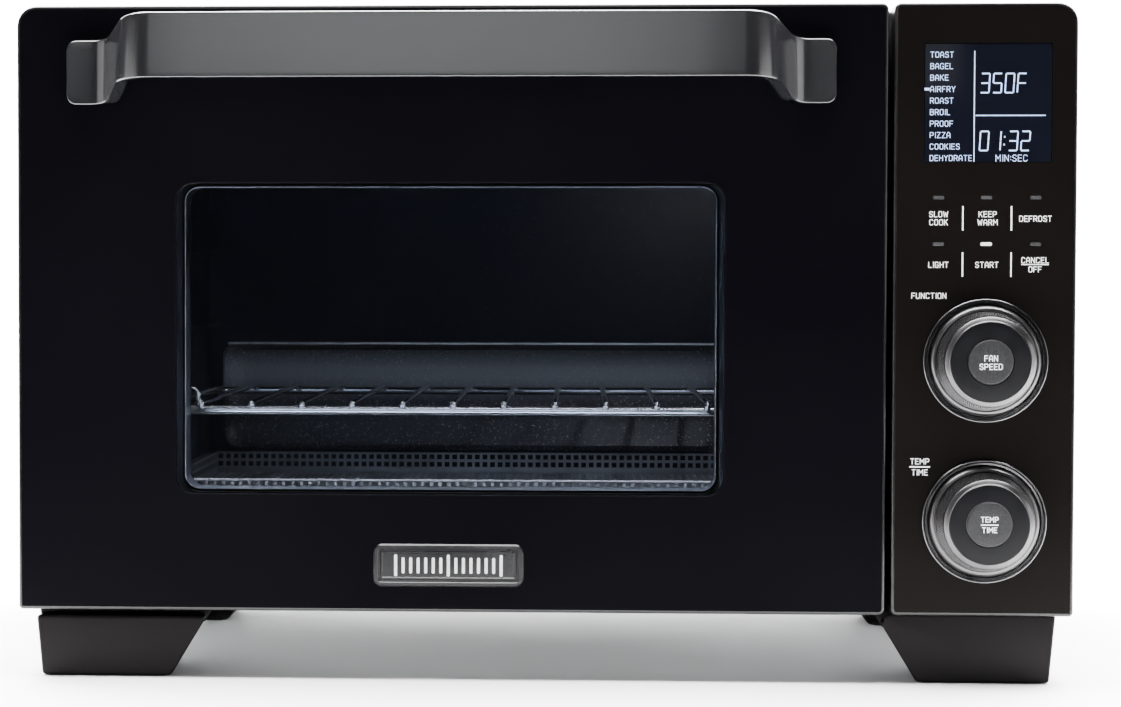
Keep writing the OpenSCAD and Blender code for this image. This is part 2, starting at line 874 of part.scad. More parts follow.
outer_cover();
base_pan();
rear_cover();
rear_spacers();
front_frame();
cover_screws();
cavity_liner();
cavity_back();
rack_guides();
upper_elements();
lower_elements();
element_insulators();
temperature_probe();
oven_lamp();
lamp_lens();
fan_shroud();
fan_motor();
convection_fan();
fan_shaft();
control_panel();
display_lens();
display_module();
touch_board();
led_light_pipes();
control_board();
function_encoder();
temperature_encoder();
function_knob_ring();
temperature_knob_ring();
function_knob();
temperature_knob();
function_button();
temperature_button();
power_board();
transformer();
relays();
door_switch();
cord_gland();
foot_front_left();
foot_front_right();
foot_rear_left();
foot_rear_right();
foot_pads();
hinge_brackets();
hinge_cheeks();
hinge_pins();
door_panel();
door_liner();
door_outer_glass();
door_inner_glass();
door_gasket();
door_handle();
handle_screws();
badge_plate();
wire_rack();
air_fry_basket();
crumb_tray();
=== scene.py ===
import json
import math

import bmesh
import bpy
from mathutils import Matrix, Vector


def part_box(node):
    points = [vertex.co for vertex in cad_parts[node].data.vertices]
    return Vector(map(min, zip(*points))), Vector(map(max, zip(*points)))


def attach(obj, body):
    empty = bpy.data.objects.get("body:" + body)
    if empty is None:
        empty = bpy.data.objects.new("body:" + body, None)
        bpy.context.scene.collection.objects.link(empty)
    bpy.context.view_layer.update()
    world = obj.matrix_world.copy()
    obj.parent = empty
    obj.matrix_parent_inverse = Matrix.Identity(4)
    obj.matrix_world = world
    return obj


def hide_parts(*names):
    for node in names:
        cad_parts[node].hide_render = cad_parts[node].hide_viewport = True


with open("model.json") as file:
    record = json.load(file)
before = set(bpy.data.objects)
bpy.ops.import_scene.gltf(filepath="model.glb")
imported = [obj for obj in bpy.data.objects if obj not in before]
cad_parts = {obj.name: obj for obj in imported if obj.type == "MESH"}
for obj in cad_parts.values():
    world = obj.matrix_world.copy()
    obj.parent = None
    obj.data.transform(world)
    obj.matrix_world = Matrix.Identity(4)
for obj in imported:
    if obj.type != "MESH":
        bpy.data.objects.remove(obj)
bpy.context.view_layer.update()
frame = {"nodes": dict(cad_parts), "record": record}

NODES = frame["nodes"]

# Boxes of the CAD nodes that the new pieces are built on: (lowest corner, highest corner).
DOOR_LO, DOOR_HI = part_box("door_panel")
PANEL_LO, PANEL_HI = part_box("control_panel")
DISPLAY_LO, DISPLAY_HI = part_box("display_lens")
HANDLE_LO, HANDLE_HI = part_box("door_handle")
BADGE_LO, BADGE_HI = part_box("badge_plate")
RACK_LO, RACK_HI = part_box("wire_rack")
BASKET_LO, BASKET_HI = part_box("air_fry_basket")
GLASS_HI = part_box("door_outer_glass")[1]
INNER_LO, INNER_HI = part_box("door_inner_glass")
HINGE_LO, HINGE_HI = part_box("hinge_brackets")
FACE_Y = DOOR_LO.y
DOOR_CX = (DOOR_LO.x + DOOR_HI.x) / 2


def mid(node):
    """Centre of a CAD node's box."""
    low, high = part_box(node)
    return (low + high) / 2


# ---- mesh helpers

def new_object(name, mesh):
    """Object in the scene for a mesh, a curve, a camera or a light."""
    piece = bpy.data.objects.new(name, mesh)
    bpy.context.scene.collection.objects.link(piece)
    return piece


def smooth(piece, angle_deg=35):
    piece.data.shade_smooth()
    piece.data.set_sharp_from_angle(angle=math.radians(angle_deg))


def raw_piece(name, bm):
    """Object made of what bm holds, just as it is."""
    mesh = bpy.data.meshes.new(name)
    bm.to_mesh(mesh)
    bm.free()
    return new_object(name, mesh)


def mesh_from_bmesh(name, bm, angle_deg=35):
    """Welds what bm holds, turns its faces outwards and makes it a smooth-shaded object."""
    bmesh.ops.remove_doubles(bm, verts=bm.verts, dist=1e-6)
    bmesh.ops.recalc_face_normals(bm, faces=bm.faces)
    piece = raw_piece(name, bm)
    smooth(piece, angle_deg)
    return piece


def baked(source, name, angle_deg=35):
    """Turns a curve or modified object into a plain mesh piece."""
    bpy.context.view_layer.update()
    graph = bpy.context.evaluated_depsgraph_get()
    mesh = bpy.data.meshes.new_from_object(source.evaluated_get(graph), depsgraph=graph)
    bm = bmesh.new()
    bm.from_mesh(mesh)
    bm.transform(source.matrix_world)
    bpy.data.objects.remove(source)
    bpy.data.meshes.remove(mesh)
    return mesh_from_bmesh(name, bm, angle_deg)


def joined(name, pieces, angle_deg=35):
    """One mesh piece from several."""
    bm = bmesh.new()
    for piece in pieces:
        bm.from_mesh(piece.data)
        bpy.data.objects.remove(piece)
    result = raw_piece(name, bm)
    smooth(result, angle_deg)
    return result


def rounded_outline(x0, x1, z0, z1, radii, steps=8):
    """Corner points of a rounded rectangle; radii run from the low-left corner anticlockwise."""
    r = radii if isinstance(radii, (list, tuple)) else [radii] * 4
    corners = [(x0 + r[0], z0 + r[0], r[0], 180), (x1 - r[1], z0 + r[1], r[1], 270),
               (x1 - r[2], z1 - r[2], r[2], 0), (x0 + r[3], z1 - r[3], r[3], 90)]
    points = []
    for cx, cz, radius, start in corners:
        for i in range(steps + 1):
            a = math.radians(start + 90 * i / steps)
            points.append((cx + radius * math.cos(a), cz + radius * math.sin(a)))
    return points


def slot_outline(x, z, half_x, half_z, r):
    """Small rounded rectangle about a centre."""
    return rounded_outline(x - half_x, x + half_x, z - half_z, z + half_z, r, 4)


def circle_outline(cx, cz, r):
    steps = 48
    return [(cx + r * math.cos(2 * math.pi * i / steps),
             cz + r * math.sin(2 * math.pi * i / steps)) for i in range(steps)]


def plate(name, outlines, y_front, y_back, bevel=0.0, steps=3):
    """Flat plate in X and Z with holes: the first outline is the edge, the others are cut out."""
    curve = bpy.data.curves.new(name + "_curve", "CURVE")
    curve.dimensions = "2D"
    curve.fill_mode = "BOTH"
    curve.extrude = abs(y_back - y_front) / 2 - bevel
    curve.bevel_depth = bevel
    curve.bevel_resolution = steps
    curve.offset = -bevel
    for outline in outlines:
        spline = curve.splines.new("POLY")
        spline.points.add(len(outline) - 1)
        for point, (x, z) in zip(spline.points, outline):
            point.co = (x, z, 0, 1)
        spline.use_cyclic_u = True
    source = new_object(name + "_source", curve)
    upright = Matrix.Rotation(math.radians(90), 4, "X")
    source.matrix_world = Matrix.Translation((0, (y_front + y_back) / 2, 0)) @ upright
    return baked(source, name)


def bridge(bm, rows, closed=False):
    """Adds the quads between neighbouring rings of equal length, and from last to first."""
    pairs = list(zip(rows, rows[1:]))
    if closed:
        pairs.append((rows[-1], rows[0]))
    for first, second in pairs:
        count = len(first)
        for i in range(count):
            j = (i + 1) % count
            bm.faces.new((first[i], first[j], second[j], second[i]))


def lathe(name, profile, centre, segments=128, wave=None, closed=False):
    """Solid of revolution about an axis along -Y; profile points are (radius, height).

    A closed profile gives a ring. wave(angle, height) gives a radius offset, for knurls.
    """
    bm = bmesh.new()
    rings = []
    for radius, height in profile:
        ring = []
        for i in range(segments):
            a = 2 * math.pi * i / segments
            r = radius + (wave(a, height) if wave else 0.0)
            place = (centre.x + r * math.cos(a), centre.y - height, centre.z + r * math.sin(a))
            ring.append(bm.verts.new(place))
        rings.append(ring)
    bridge(bm, rings, closed)
    if not closed:
        bm.faces.new(rings[0])
        bm.faces.new(rings[-1])
    return mesh_from_bmesh(name, bm, 40)


def tube(name, points, radius, segments=12):
    """Round bar along a list of points, closed at both ends with domes."""
    bm = bmesh.new()
    rings = []
    stations = [(Vector(p), radius) for p in points]
    start_dir = (stations[0][0] - stations[1][0]).normalized()
    end_dir = (stations[-1][0] - stations[-2][0]).normalized()
    dome = [(0.5, 0.866), (0.866, 0.5)]
    head = [(stations[0][0] + start_dir * radius * s, radius * c) for s, c in reversed(dome)]
    tail = [(stations[-1][0] + end_dir * radius * s, radius * c) for s, c in dome]
    stations = head + stations + tail
    normal = None
    for k, (place, r) in enumerate(stations):
        ahead = stations[min(k + 1, len(stations) - 1)][0]
        behind = stations[max(k - 1, 0)][0]
        tangent = (ahead - behind).normalized()
        if normal is None:
            normal = tangent.orthogonal().normalized()
        normal = (normal - tangent * normal.dot(tangent)).normalized()
        side = tangent.cross(normal)
        ring = []
        for i in range(segments):
            a = 2 * math.pi * i / segments
            ring.append(bm.verts.new(place + (normal * math.cos(a) + side * math.sin(a)) * r))
        rings.append(ring)
    bridge(bm, rings)
    tip0 = bm.verts.new(points[0] + start_dir * radius)
    tip1 = bm.verts.new(points[-1] + end_dir * radius)
    for i in range(segments):
        j = (i + 1) % segments
        bm.faces.new((rings[0][j], rings[0][i], tip0))
        bm.faces.new((rings[-1][i], rings[-1][j], tip1))
    return mesh_from_bmesh(name, bm, 60)


def ball(name, centre, radius):
    bm = bmesh.new()
    bmesh.ops.create_uvsphere(bm, u_segments=20, v_segments=12, radius=radius)
    bmesh.ops.translate(bm, vec=centre, verts=bm.verts)
    return mesh_from_bmesh(name, bm, 60)


def bevelled_box(name, low, high, bevel):
    """Box with rounded edges."""
    bm = bmesh.new()
    bmesh.ops.create_cube(bm, size=1.0)
    size = Vector(high) - Vector(low)
    bmesh.ops.scale(bm, vec=size, verts=bm.verts)
    bmesh.ops.translate(bm, vec=(Vector(high) + Vector(low)) / 2, verts=bm.verts)
    bmesh.ops.bevel(bm, geom=bm.edges[:], offset=bevel, segments=3, profile=0.5,
                    affect="EDGES")
    return mesh_from_bmesh(name, bm, 40)


# ---- materials

def start_material(name):
    material = bpy.data.materials.new(name)
    material.use_nodes = True
    tree = material.node_tree
    shader = tree.nodes["Principled BSDF"]
    place = tree.nodes.new("ShaderNodeTexCoord").outputs["Object"]
    return material, tree, shader, place


def fill(tree, node, inputs):
    """Fills a node's inputs: an output is linked, and anything else is set as the value."""
    for name, value in inputs.items():
        if isinstance(value, bpy.types.NodeSocket):
            tree.links.new(value, node.inputs[name])
        else:
            node.inputs[name].default_value = value


def add_node(tree, kind, output, inputs):
    node = tree.nodes.new("ShaderNode" + kind)
    fill(tree, node, inputs)
    return node.outputs[output]


def noise(tree, place, scale, detail, stretch=None):
    """Noise factor at a scale given in features per metre, stretched along the axes if asked."""
    if stretch:
        place = add_node(tree, "Mapping", "Vector", {"Scale": stretch, "Vector": place})
    return add_node(tree, "TexNoise", "Fac",
                    {"Scale": scale, "Detail": detail, "Vector": place})


def remap(tree, factor, low, high, start=0.3, stop=0.7):
    """Maps a factor onto a range of values."""
    return add_node(tree, "MapRange", "Result",
                    {"From Min": start, "From Max": stop, "To Min": low, "To Max": high,
                     "Value": factor})


def mix_colour(tree, factor, dark, light):
    """Mixes two colours; the dark one may be another node's output."""
    if not isinstance(dark, bpy.types.NodeSocket):
        dark = (*dark, 1)
    node = tree.nodes.new("ShaderNodeMix")
    node.data_type = "RGBA"
    fill(tree, node, {"A": dark, "B": (*light, 1), "Factor": factor})
    return node.outputs["Result"]


def by_height(tree, place, low, high, low_z, high_z):
    """Colour that changes from low to high between two heights."""
    height = add_node(tree, "SeparateXYZ", "Z", {"Vector": place})
    return mix_colour(tree, remap(tree, height, 0, 1, low_z, high_z), low, high)


def bump(tree, factor, depth):
    return add_node(tree, "Bump", "Normal",
                    {"Distance": depth, "Strength": 1.0, "Height": factor})


def finish_material(name, dark, light, rough, cloud, grain, grain_depth, metallic=0.0,
                    specular=0.5, stretch=None, coat=0.0, coat_rough=0.1):
    """Solid finish with cloudy colour and roughness variation and a fine grain."""
    material, tree, shader, place = start_material(name)
    clouds = noise(tree, place, cloud, 4.0, stretch)
    fill(tree, shader, {
        "Base Color": mix_colour(tree, remap(tree, clouds, 0, 1), dark, light),
        "Roughness": remap(tree, clouds, *rough),
        "Metallic": metallic, "Specular IOR Level": specular,
        "Coat Weight": coat, "Coat Roughness": coat_rough})
    if grain_depth:
        grains = noise(tree, place, grain, 2.0, stretch)
        fill(tree, shader, {"Normal": bump(tree, grains, grain_depth)})
    return material


def speckled_material(name, base, speck, speck_scale, threshold, rough, grain_depth,
                      specular=0.5, metallic=0.0, painted_light_layers=()):
    """Dark coating with small bright specks, as on non-stick enamel or a moulded button.

    Each layer (colour, low, high) takes over from the base colour between two heights; the layers
    paint light and shade by height.
    """
    material, tree, shader, place = start_material(name)
    for colour, low_z, high_z in painted_light_layers:
        base = by_height(tree, place, base, colour, low_z, high_z)
    dots = noise(tree, place, speck_scale, 1.0)
    mask = remap(tree, dots, 0, 1, threshold, threshold + 0.06)
    fill(tree, shader, {
        "Base Color": mix_colour(tree, mask, base, speck),
        "Roughness": remap(tree, noise(tree, place, 18.0, 4.0), *rough),
        "Metallic": metallic, "Specular IOR Level": specular,
        "Normal": bump(tree, dots, grain_depth)})
    return material


def glass_material(name, tint, rough=0.0, specular=0.5):
    """Clear tinted pane with faint smears in its roughness."""
    material, tree, shader, place = start_material(name)
    smears = noise(tree, place, 12.0, 5.0)
    fill(tree, shader, {
        "Base Color": mix_colour(tree, smears, tint, [c * 0.96 for c in tint]),
        "Roughness": remap(tree, smears, rough, rough + 0.03),
        "Transmission Weight": 1.0, "Specular IOR Level": specular, "IOR": 1.45})
    return material


def glow_material(name, base, glow, strength):
    """Print or segment with a slightly uneven glow: real light on the display and the lit LED, a
    painted glow on printed labels.
    """
    material, tree, shader, place = start_material(name)
    uneven = noise(tree, place, 300.0, 2.0)
    fill(tree, shader, {
        "Base Color": mix_colour(tree, uneven, [c * 0.92 for c in base], base),
        "Emission Color": mix_colour(tree, uneven, [c * 0.9 for c in glow], glow),
        "Emission Strength": strength, "Roughness": 0.4})
    return material


# Solid finishes: dark and light colour, roughness range, size of the clouds and of the grain,
# depth of the grain, and what else finish_material takes.
FINISHES = {
    "door_black": ((0.0014, 0.0013, 0.0021), (0.0019, 0.0018, 0.0027), (0.26, 0.32), 9, 900,
        0.000004, dict(specular=0.013)),
    "panel_black": ((0.003, 0.0024, 0.0023), (0.0038, 0.0031, 0.0029), (0.26, 0.32), 9, 900,
        0.000004, dict(specular=0.03)),
    "edge_gloss": ((0.004, 0.0036, 0.0038), (0.006, 0.0055, 0.0056), (0.2, 0.26), 30, 900,
        0.000004, dict(specular=0.32)),
    "handle_gloss": ((0.006, 0.006, 0.007), (0.008, 0.008, 0.009), (0.21, 0.26), 15, 700,
        0.000003, dict(specular=0.6, coat=0.2, coat_rough=0.13)),
    "cover_black": ((0.0036, 0.0035, 0.0038), (0.0046, 0.0045, 0.0048), (0.5, 0.6), 14, 2600,
        0.00002, dict(specular=0.01)),
    "foot_plastic": ((0.0036, 0.0028, 0.0031), (0.0048, 0.0038, 0.0042), (0.42, 0.52), 30,
        3200, 0.00002, dict(specular=0.07)),
    "black_plastic": ((0.012, 0.012, 0.012), (0.02, 0.02, 0.02), (0.45, 0.6), 40, 2500,
        0.00003, dict()),
    "rubber": ((0.012, 0.012, 0.012), (0.022, 0.021, 0.02), (0.7, 0.85), 60, 1800, 0.00004,
        dict(specular=0.3)),
    "sheet_steel": ((0.42, 0.43, 0.44), (0.58, 0.59, 0.6), (0.28, 0.45), 60, 900, 0.00001,
        dict(metallic=1.0)),
    "bright_steel": ((0.6, 0.6, 0.61), (0.72, 0.72, 0.73), (0.18, 0.3), 80, 1500, 0.000006,
        dict(metallic=1.0, stretch=(1, 1, 12))),
    "rack_chrome": ((0.78, 0.79, 0.82), (0.88, 0.89, 0.92), (0.1, 0.2), 120, 900, 0.000006,
        dict(metallic=1.0)),
    "basket_steel": ((0.19, 0.2, 0.22), (0.27, 0.28, 0.31), (0.34, 0.46), 90, 1500, 0.00001,
        dict(metallic=0.6)),
    "tray_steel": ((0.3, 0.31, 0.33), (0.42, 0.43, 0.45), (0.3, 0.45), 50, 1400, 0.00001,
        dict(metallic=1.0, stretch=(14, 1, 1))),
    "element_tube": ((0.12, 0.11, 0.105), (0.22, 0.2, 0.18), (0.4, 0.6), 70, 2000, 0.00002,
        dict(metallic=0.8)),
    "ceramic": ((0.62, 0.6, 0.54), (0.76, 0.74, 0.68), (0.5, 0.65), 80, 2200, 0.00002, dict()),
    "dark_chrome": ((0.09, 0.09, 0.093), (0.125, 0.125, 0.128), (0.22, 0.28), 90, 2500, 0,
        dict(metallic=1.0)),
    "knob_metal": ((0.078, 0.076, 0.078), (0.1, 0.097, 0.1), (0.28, 0.34), 120, 2600, 0.000006,
        dict(metallic=1.0)),
    "knob_face": ((0.0024, 0.0024, 0.003), (0.0034, 0.0034, 0.0042), (0.42, 0.5), 90, 5200,
        0.00002, dict(specular=0.09)),
    # Light grey of the rear crease bead: a painted highlight along the bend of the rear wall.
    "crease_painted_highlight": ((0.6, 0.62, 0.66), (0.8, 0.82, 0.86), (0.25, 0.4), 160, 900, 0.00001,
        dict(metallic=0.2)),
    "window_border": ((0.01, 0.0125, 0.019), (0.013, 0.016, 0.024), (0.4, 0.5), 40, 2500, 0,
        dict(specular=0.2)),
    "door_liner": ((0.008, 0.0095, 0.0135), (0.011, 0.013, 0.018), (0.34, 0.42), 30, 1500,
        0.00001, dict(metallic=0.2, specular=0.15)),
    "display_glass": ((0.0026, 0.003, 0.0055), (0.0034, 0.0038, 0.0072), (0.14, 0.2), 20, 500,
        0, dict(specular=0.08)),
    "badge_field": ((0.004, 0.004, 0.005), (0.006, 0.006, 0.007), (0.2, 0.28), 60, 2000,
        0.000004, dict(specular=0.35)),
    "badge_motif": ((0.72, 0.72, 0.72), (0.85, 0.85, 0.85), (0.3, 0.4), 60, 2000, 0.000004,
        dict()),
    "board_green": ((0.01, 0.07, 0.03), (0.015, 0.1, 0.05), (0.35, 0.45), 200, 900, 0.00002,
        dict()),
    "board_tan": ((0.32, 0.24, 0.1), (0.42, 0.33, 0.15), (0.5, 0.6), 200, 900, 0.00002, dict()),
    "relay_blue": ((0.02, 0.08, 0.35), (0.03, 0.1, 0.42), (0.35, 0.45), 60, 2000, 0.00001,
        dict()),
    "motor_steel": ((0.12, 0.11, 0.1), (0.2, 0.19, 0.18), (0.45, 0.6), 60, 1500, 0.00003,
        dict(metallic=0.8, stretch=(30, 1, 1))),
    "fan_alloy": ((0.5, 0.51, 0.53), (0.64, 0.65, 0.67), (0.3, 0.42), 60, 1500, 0.00001,
        dict(metallic=1.0)),
    "light_pipe": ((0.02, 0.02, 0.021), (0.028, 0.028, 0.03), (0.3, 0.4), 80, 2500, 0, dict()),
    "floor_white": ((0.86, 0.86, 0.86), (0.9, 0.9, 0.9), (0.5, 0.6), 2, 300, 0,
        dict(specular=0.25)),
}

MAT = {}
for finish, (*look, extras) in FINISHES.items():
    MAT[finish] = finish_material(finish, *look, **extras)
MAT["button"] = speckled_material("button", (0.006, 0.006, 0.0067), (0.04, 0.04, 0.043),
    3400.0, 0.57, (0.45, 0.55), 0.00004, specular=0.2)
MAT["cavity"] = speckled_material("cavity", (0.0009, 0.0025, 0.012), (0.12, 0.13, 0.17), 900.0,
    0.74, (0.34, 0.46), 0.00002, specular=0.15)
# Rear recess coating: its lighter colour and specks, and the brightest band just below the crease,
# are painted light where the oven lamp falls on the rear wall; darker towards the bottom and
# towards the crease.
MAT["cavity_band_painted_light"] = speckled_material("cavity_band_painted_light", (0.01, 0.0135, 0.027), (0.45, 0.46, 0.5),
    1100.0, 0.66, (0.4, 0.5), 0.00003, specular=0.5,
    painted_light_layers=[((0.2, 0.213, 0.245), 0.119, 0.134), ((0.055, 0.06, 0.07), 0.139, 0.1485)])
# Tunnel lip and sill: light at the bottom and darker above it, a painted highlight along the
# bottom and painted shade on the sides and top.
MAT["tunnel_lip_painted_light"] = speckled_material("tunnel_lip_painted_light", (0.72, 0.75, 0.8), (0.8, 0.82, 0.86),
    900.0, 0.74, (0.3, 0.4), 0.00001, metallic=0.2,
    painted_light_layers=[((0.15, 0.16, 0.185), INNER_LO.z + 0.0005, INNER_LO.z + 0.003)])
MAT["door_glass"] = glass_material("door_glass", (0.84, 0.875, 0.94), specular=0.08)
MAT["clear_glass"] = glass_material("clear_glass", (0.95, 0.96, 0.98), 0.05)
MAT["display_glow"] = glow_material("display_glow", (0.4, 0.52, 0.8), (0.5, 0.66, 1.0), 0.95)
# White that glows: a painted glow on the printed labels, and the real light of the lit LED.
MAT["print_painted_glow_and_led_light"] = glow_material("print_painted_glow_and_led_light", (0.85, 0.85, 0.85), (1.0, 1.0, 1.0), 1.0)

# Finish of the CAD nodes that stay visible, where it isn't called as the material slot is.
SLOT_FINISH = {
    "cover_steel": "cover_black", "galvanised_steel": "sheet_steel",
    "cavity_coating": "cavity", "pad_rubber": "rubber", "seal_rubber": "rubber",
    "fastener_steel": "bright_steel", "ceramic_cap": "ceramic",
    "fan_aluminium": "fan_alloy", "black_gloss": "door_black",
    "handle_black": "handle_gloss", "module_grey": "black_plastic",
    "trim_chrome": "dark_chrome", "knob_black": "knob_metal", "button_grey": "button",
    "door_steel": "door_liner", "badge_metal": "badge_field",
}

# Nodes whose finish differs from the rest of their slot.
NODE_FINISH = {"front_frame": "cover_black"}


def dress_cad_nodes():
    """Gives every CAD node the finish of its slot, or its own."""
    for entry in frame["record"]["subparts"]:
        name = entry["node"]
        slot = entry["material_slot"]
        finish = NODE_FINISH.get(name, SLOT_FINISH.get(slot, slot))
        NODES[name].data.materials.clear()
        NODES[name].data.materials.append(MAT[finish])


def place_piece(piece, finish, body, slot, *replaced):
    """Gives a new piece its material, its body, its slot and the CAD nodes it stands for."""
    piece.data.materials.clear()
    piece.data.materials.append(MAT[finish])
    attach(piece, body)
    if replaced:
        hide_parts(*replaced)


# ---- lofted shells

def loop_at(bounds, radii, inset, y):
    """Rounded rectangle at depth y, drawn in from its bounds (x0, x1, z0, z1) by an inset."""
    x0, x1, z0, z1 = bounds
    tight = [max(r - inset, 0.0003) for r in radii]
    outline = rounded_outline(x0 + inset, x1 - inset, z0 + inset, z1 - inset, tight)
    return [(x, y, z) for x, z in outline]


def edge_loops(bounds, radii, y_face, bevel, count=4, outward=False):
    """Loops over a rounded edge, from the flat face at y_face to the side.

    A loop just before and just after the rounding keeps the shading of the flats flat.
    """
    sign = -1 if outward else 1
    loops = [loop_at(bounds, radii, sign * (bevel + 0.0003), y_face)]
    for k in range(count + 1):
        a = math.radians(90 * k / count)
        inset = bevel * (1 - math.sin(a))
        depth = bevel * (1 - math.cos(a))
        loops.append(loop_at(bounds, radii, sign * inset, y_face + depth))
    loops.append(loop_at(bounds, radii, 0, y_face + bevel + 0.0003))
    return loops


def loft(name, loops, angle_deg=30, cyclic=False):
    """Skin over loops of equal length: a closed ring of loops, or a solid with capped ends."""
    bm = bmesh.new()
    rows = [[bm.verts.new(point) for point in loop] for loop in loops]
    bridge(bm, rows, cyclic)
    if not cyclic:
        bm.faces.new(rows[0])
        bm.faces.new(rows[-1])
    return mesh_from_bmesh(name, bm, angle_deg)


def carve(piece, cutters):
    """Cuts closed pieces out of a closed piece."""
    for cutter in cutters:
        modifier = piece.modifiers.new("cut", "BOOLEAN")
        modifier.operation = "DIFFERENCE"
        modifier.solver = "EXACT"
        modifier.object = cutter
    name = piece.name
    result = baked(piece, name + "_cut", 30)
    for cutter in cutters:
        bpy.data.objects.remove(cutter)
    result.name = name
    return result


# ---- door

RIM = 0.0015                # width of the glossier edge around a front panel
SKIN = 0.003                # thickness of a front panel
WALL = 0.0025               # thickness of its side walls
OUTER_R = [0.002, 0.003, 0.003, 0.0095]
HINGE_HALF = 0.002          # half the thickness of a hinge arm


def hinge_notch(x):
    """Space that a hinge arm needs in the door's lower wall."""
    half = HINGE_HALF + 0.001
    low = (x - half, FACE_Y + SKIN - 0.0002, DOOR_LO.z - 0.001)
    return bevelled_box("hinge_notch", low, (x + half, DOOR_HI.y + 0.001, 0.04), 0.0002)


def build_rim(name, bounds, radii, y_back, body, node):
    """Rounded edge and side walls of a front panel, in a glossier paint than its face."""
    loops = edge_loops(bounds, radii, FACE_Y, 0.0012, 5)
    for inset, y in ((0, y_back), (WALL, y_back), (WALL, FACE_Y + SKIN), (RIM, FACE_Y + SKIN)):
        loops.append(loop_at(bounds, radii, inset, y))
    rim = loft(name, loops, 30, True)
    if body == "door":
        arms = (HINGE_LO.x + HINGE_HALF, HINGE_HI.x - HINGE_HALF)
        rim = carve(rim, [hinge_notch(x) for x in arms])
    place_piece(rim, "edge_gloss", body, "black_gloss", node)


def build_door_panel():
    """Front shell of the door with rounded edges, hollow from behind, around the window."""
    outer = (DOOR_LO.x, DOOR_HI.x, DOOR_LO.z, DOOR_HI.z)
    half_window = 0.13055
    window = (DOOR_CX - half_window, DOOR_CX + half_window, 0.0892, 0.2375)
    window_r = [0.0085] * 4
    build_rim("door_rim", outer, OUTER_R, DOOR_HI.y, "door", "door_panel")
    loops = list(reversed(edge_loops(window, window_r, FACE_Y, 0.0007, 3, True)))
    loops.append(loop_at(outer, OUTER_R, RIM, FACE_Y))
    loops.append(loop_at(outer, OUTER_R, RIM, FACE_Y + SKIN))
    loops.append(loop_at(window, window_r, 0, FACE_Y + SKIN))
    panel = loft("door_shell", loops, 30, True)
    place_piece(panel, "door_black", "door", "black_gloss", "door_panel")


def build_window_surround():
    """Border printed behind the outer glass, and the lip and sill of the window tunnel."""
    y_back = GLASS_HI.y
    y_lip = y_back + 0.0006
    x0, x1, z0, z1 = INNER_LO.x, INNER_HI.x, INNER_LO.z, INNER_HI.z
    edge, spread = 0.0013, 0.008
    inner = rounded_outline(x0 - edge, x1 + edge, z0 - 0.0021, z1 + edge, 0.0086)
    outer = rounded_outline(x0 - spread, x1 + spread, z0 - spread, z1 + spread, 0.006)
    border = plate("window_border", [outer, inner], y_back + 0.0002, y_back + 0.001)
    place_piece(border, "window_border", "door", "door_glass")
    side, corner_r = 0.0001, 0.0072
    path = [Vector((x, y_lip, z)) for x, z in
            rounded_outline(x0 + side, x1 - side, z0 - 0.0005, z1 - side, corner_r)]
    # Lip and sill carry the painted highlight at the bottom and painted shade above it.
    lip = tube("tunnel_lip_painted_light", path + [path[0]], 0.0004, 8)
    place_piece(lip, "tunnel_lip_painted_light", "door", "door_steel")
    lower_half = 18
    path = [Vector((x, y_lip, z)) for x, z in
            rounded_outline(x0 + side, x1 - side, z0 - 0.0010, z1, corner_r)[:lower_half]]
    sill = tube("tunnel_sill", path, 0.0005, 8)
    place_piece(sill, "tunnel_lip_painted_light", "door", "door_steel")


def fillet_path(points, radii, steps=10):
    """2-D path through the points with rounded corners."""
    path = [Vector(points[0])]
    for k in range(1, len(points) - 1):
        corner = Vector(points[k])
        before = (Vector(points[k - 1]) - corner).normalized()
        after = (Vector(points[k + 1]) - corner).normalized()
        half = before.angle(after) / 2
        reach = radii[k - 1] / math.tan(half)
        centre = corner + (before + after).normalized() * radii[k - 1] / math.sin(half)
        start = corner + before * reach - centre
        stop = corner + after * reach - centre
        turn = start.angle_signed(stop)
        for i in range(steps + 1):
            path.append(centre + Matrix.Rotation(-turn * i / steps, 2) @ start)
    path.append(Vector(points[-1]))
    return path


def strip_section(half_t, half_h, corner, bulge):
    """Section of the handle strip: (across, up) points with rounded corners and a curved front."""
    section = []
    steps = 5
    for sx, sz, start in ((1, -1, 270), (1, 1, 0), (-1, 1, 90), (-1, -1, 180)):
        for i in range(steps + 1):
            a = math.radians(start + 90 * i / steps)
            across = sx * (half_t - corner) + corner * math.cos(a)
            up = sz * (half_h - corner) + corner * math.sin(a)
            section.append((across, up))
        if (sx, sz) in ((1, -1), (-1, 1)):
            for k in range(1, 12):
                t = k / 12
                swell = bulge * 4 * t * (1 - t) if sx == 1 else 0.0
                up = (-1 if sx == 1 else 1) * (half_h - corner) * (1 - 2 * t)
                section.append((sx * half_t + swell, up))
    return section


def handle_path(reach, thick):
    """Middle line of the strip seen from above, from the left pad to the right one."""
    pad_end, bend, shoulder, bar_half, bow = 0.182, 0.161, 0.1475, 0.115, 0.0009
    pad_y = -thick / 2
    bar_y = reach + thick / 2 + 0.0022
    corners = [(pad_end, pad_y), (bend, pad_y), (shoulder, bar_y + 0.0012), (0.0, bar_y)]
    arm = fillet_path(corners, [0.013, 0.015], 14)
    bar = [Vector((bar_half * (1 - k / 8), bar_y + bow * (1 - k / 8) ** 2)) for k in range(9)]
    entry = [Vector((pad_end - 0.0044 * (k / 6) ** 1.6, pad_y)) for k in range(7)]
    right = entry + arm[1:-1] + bar
    return [Vector((-p.x, p.y)) for p in right[:-1]] + list(reversed(right))


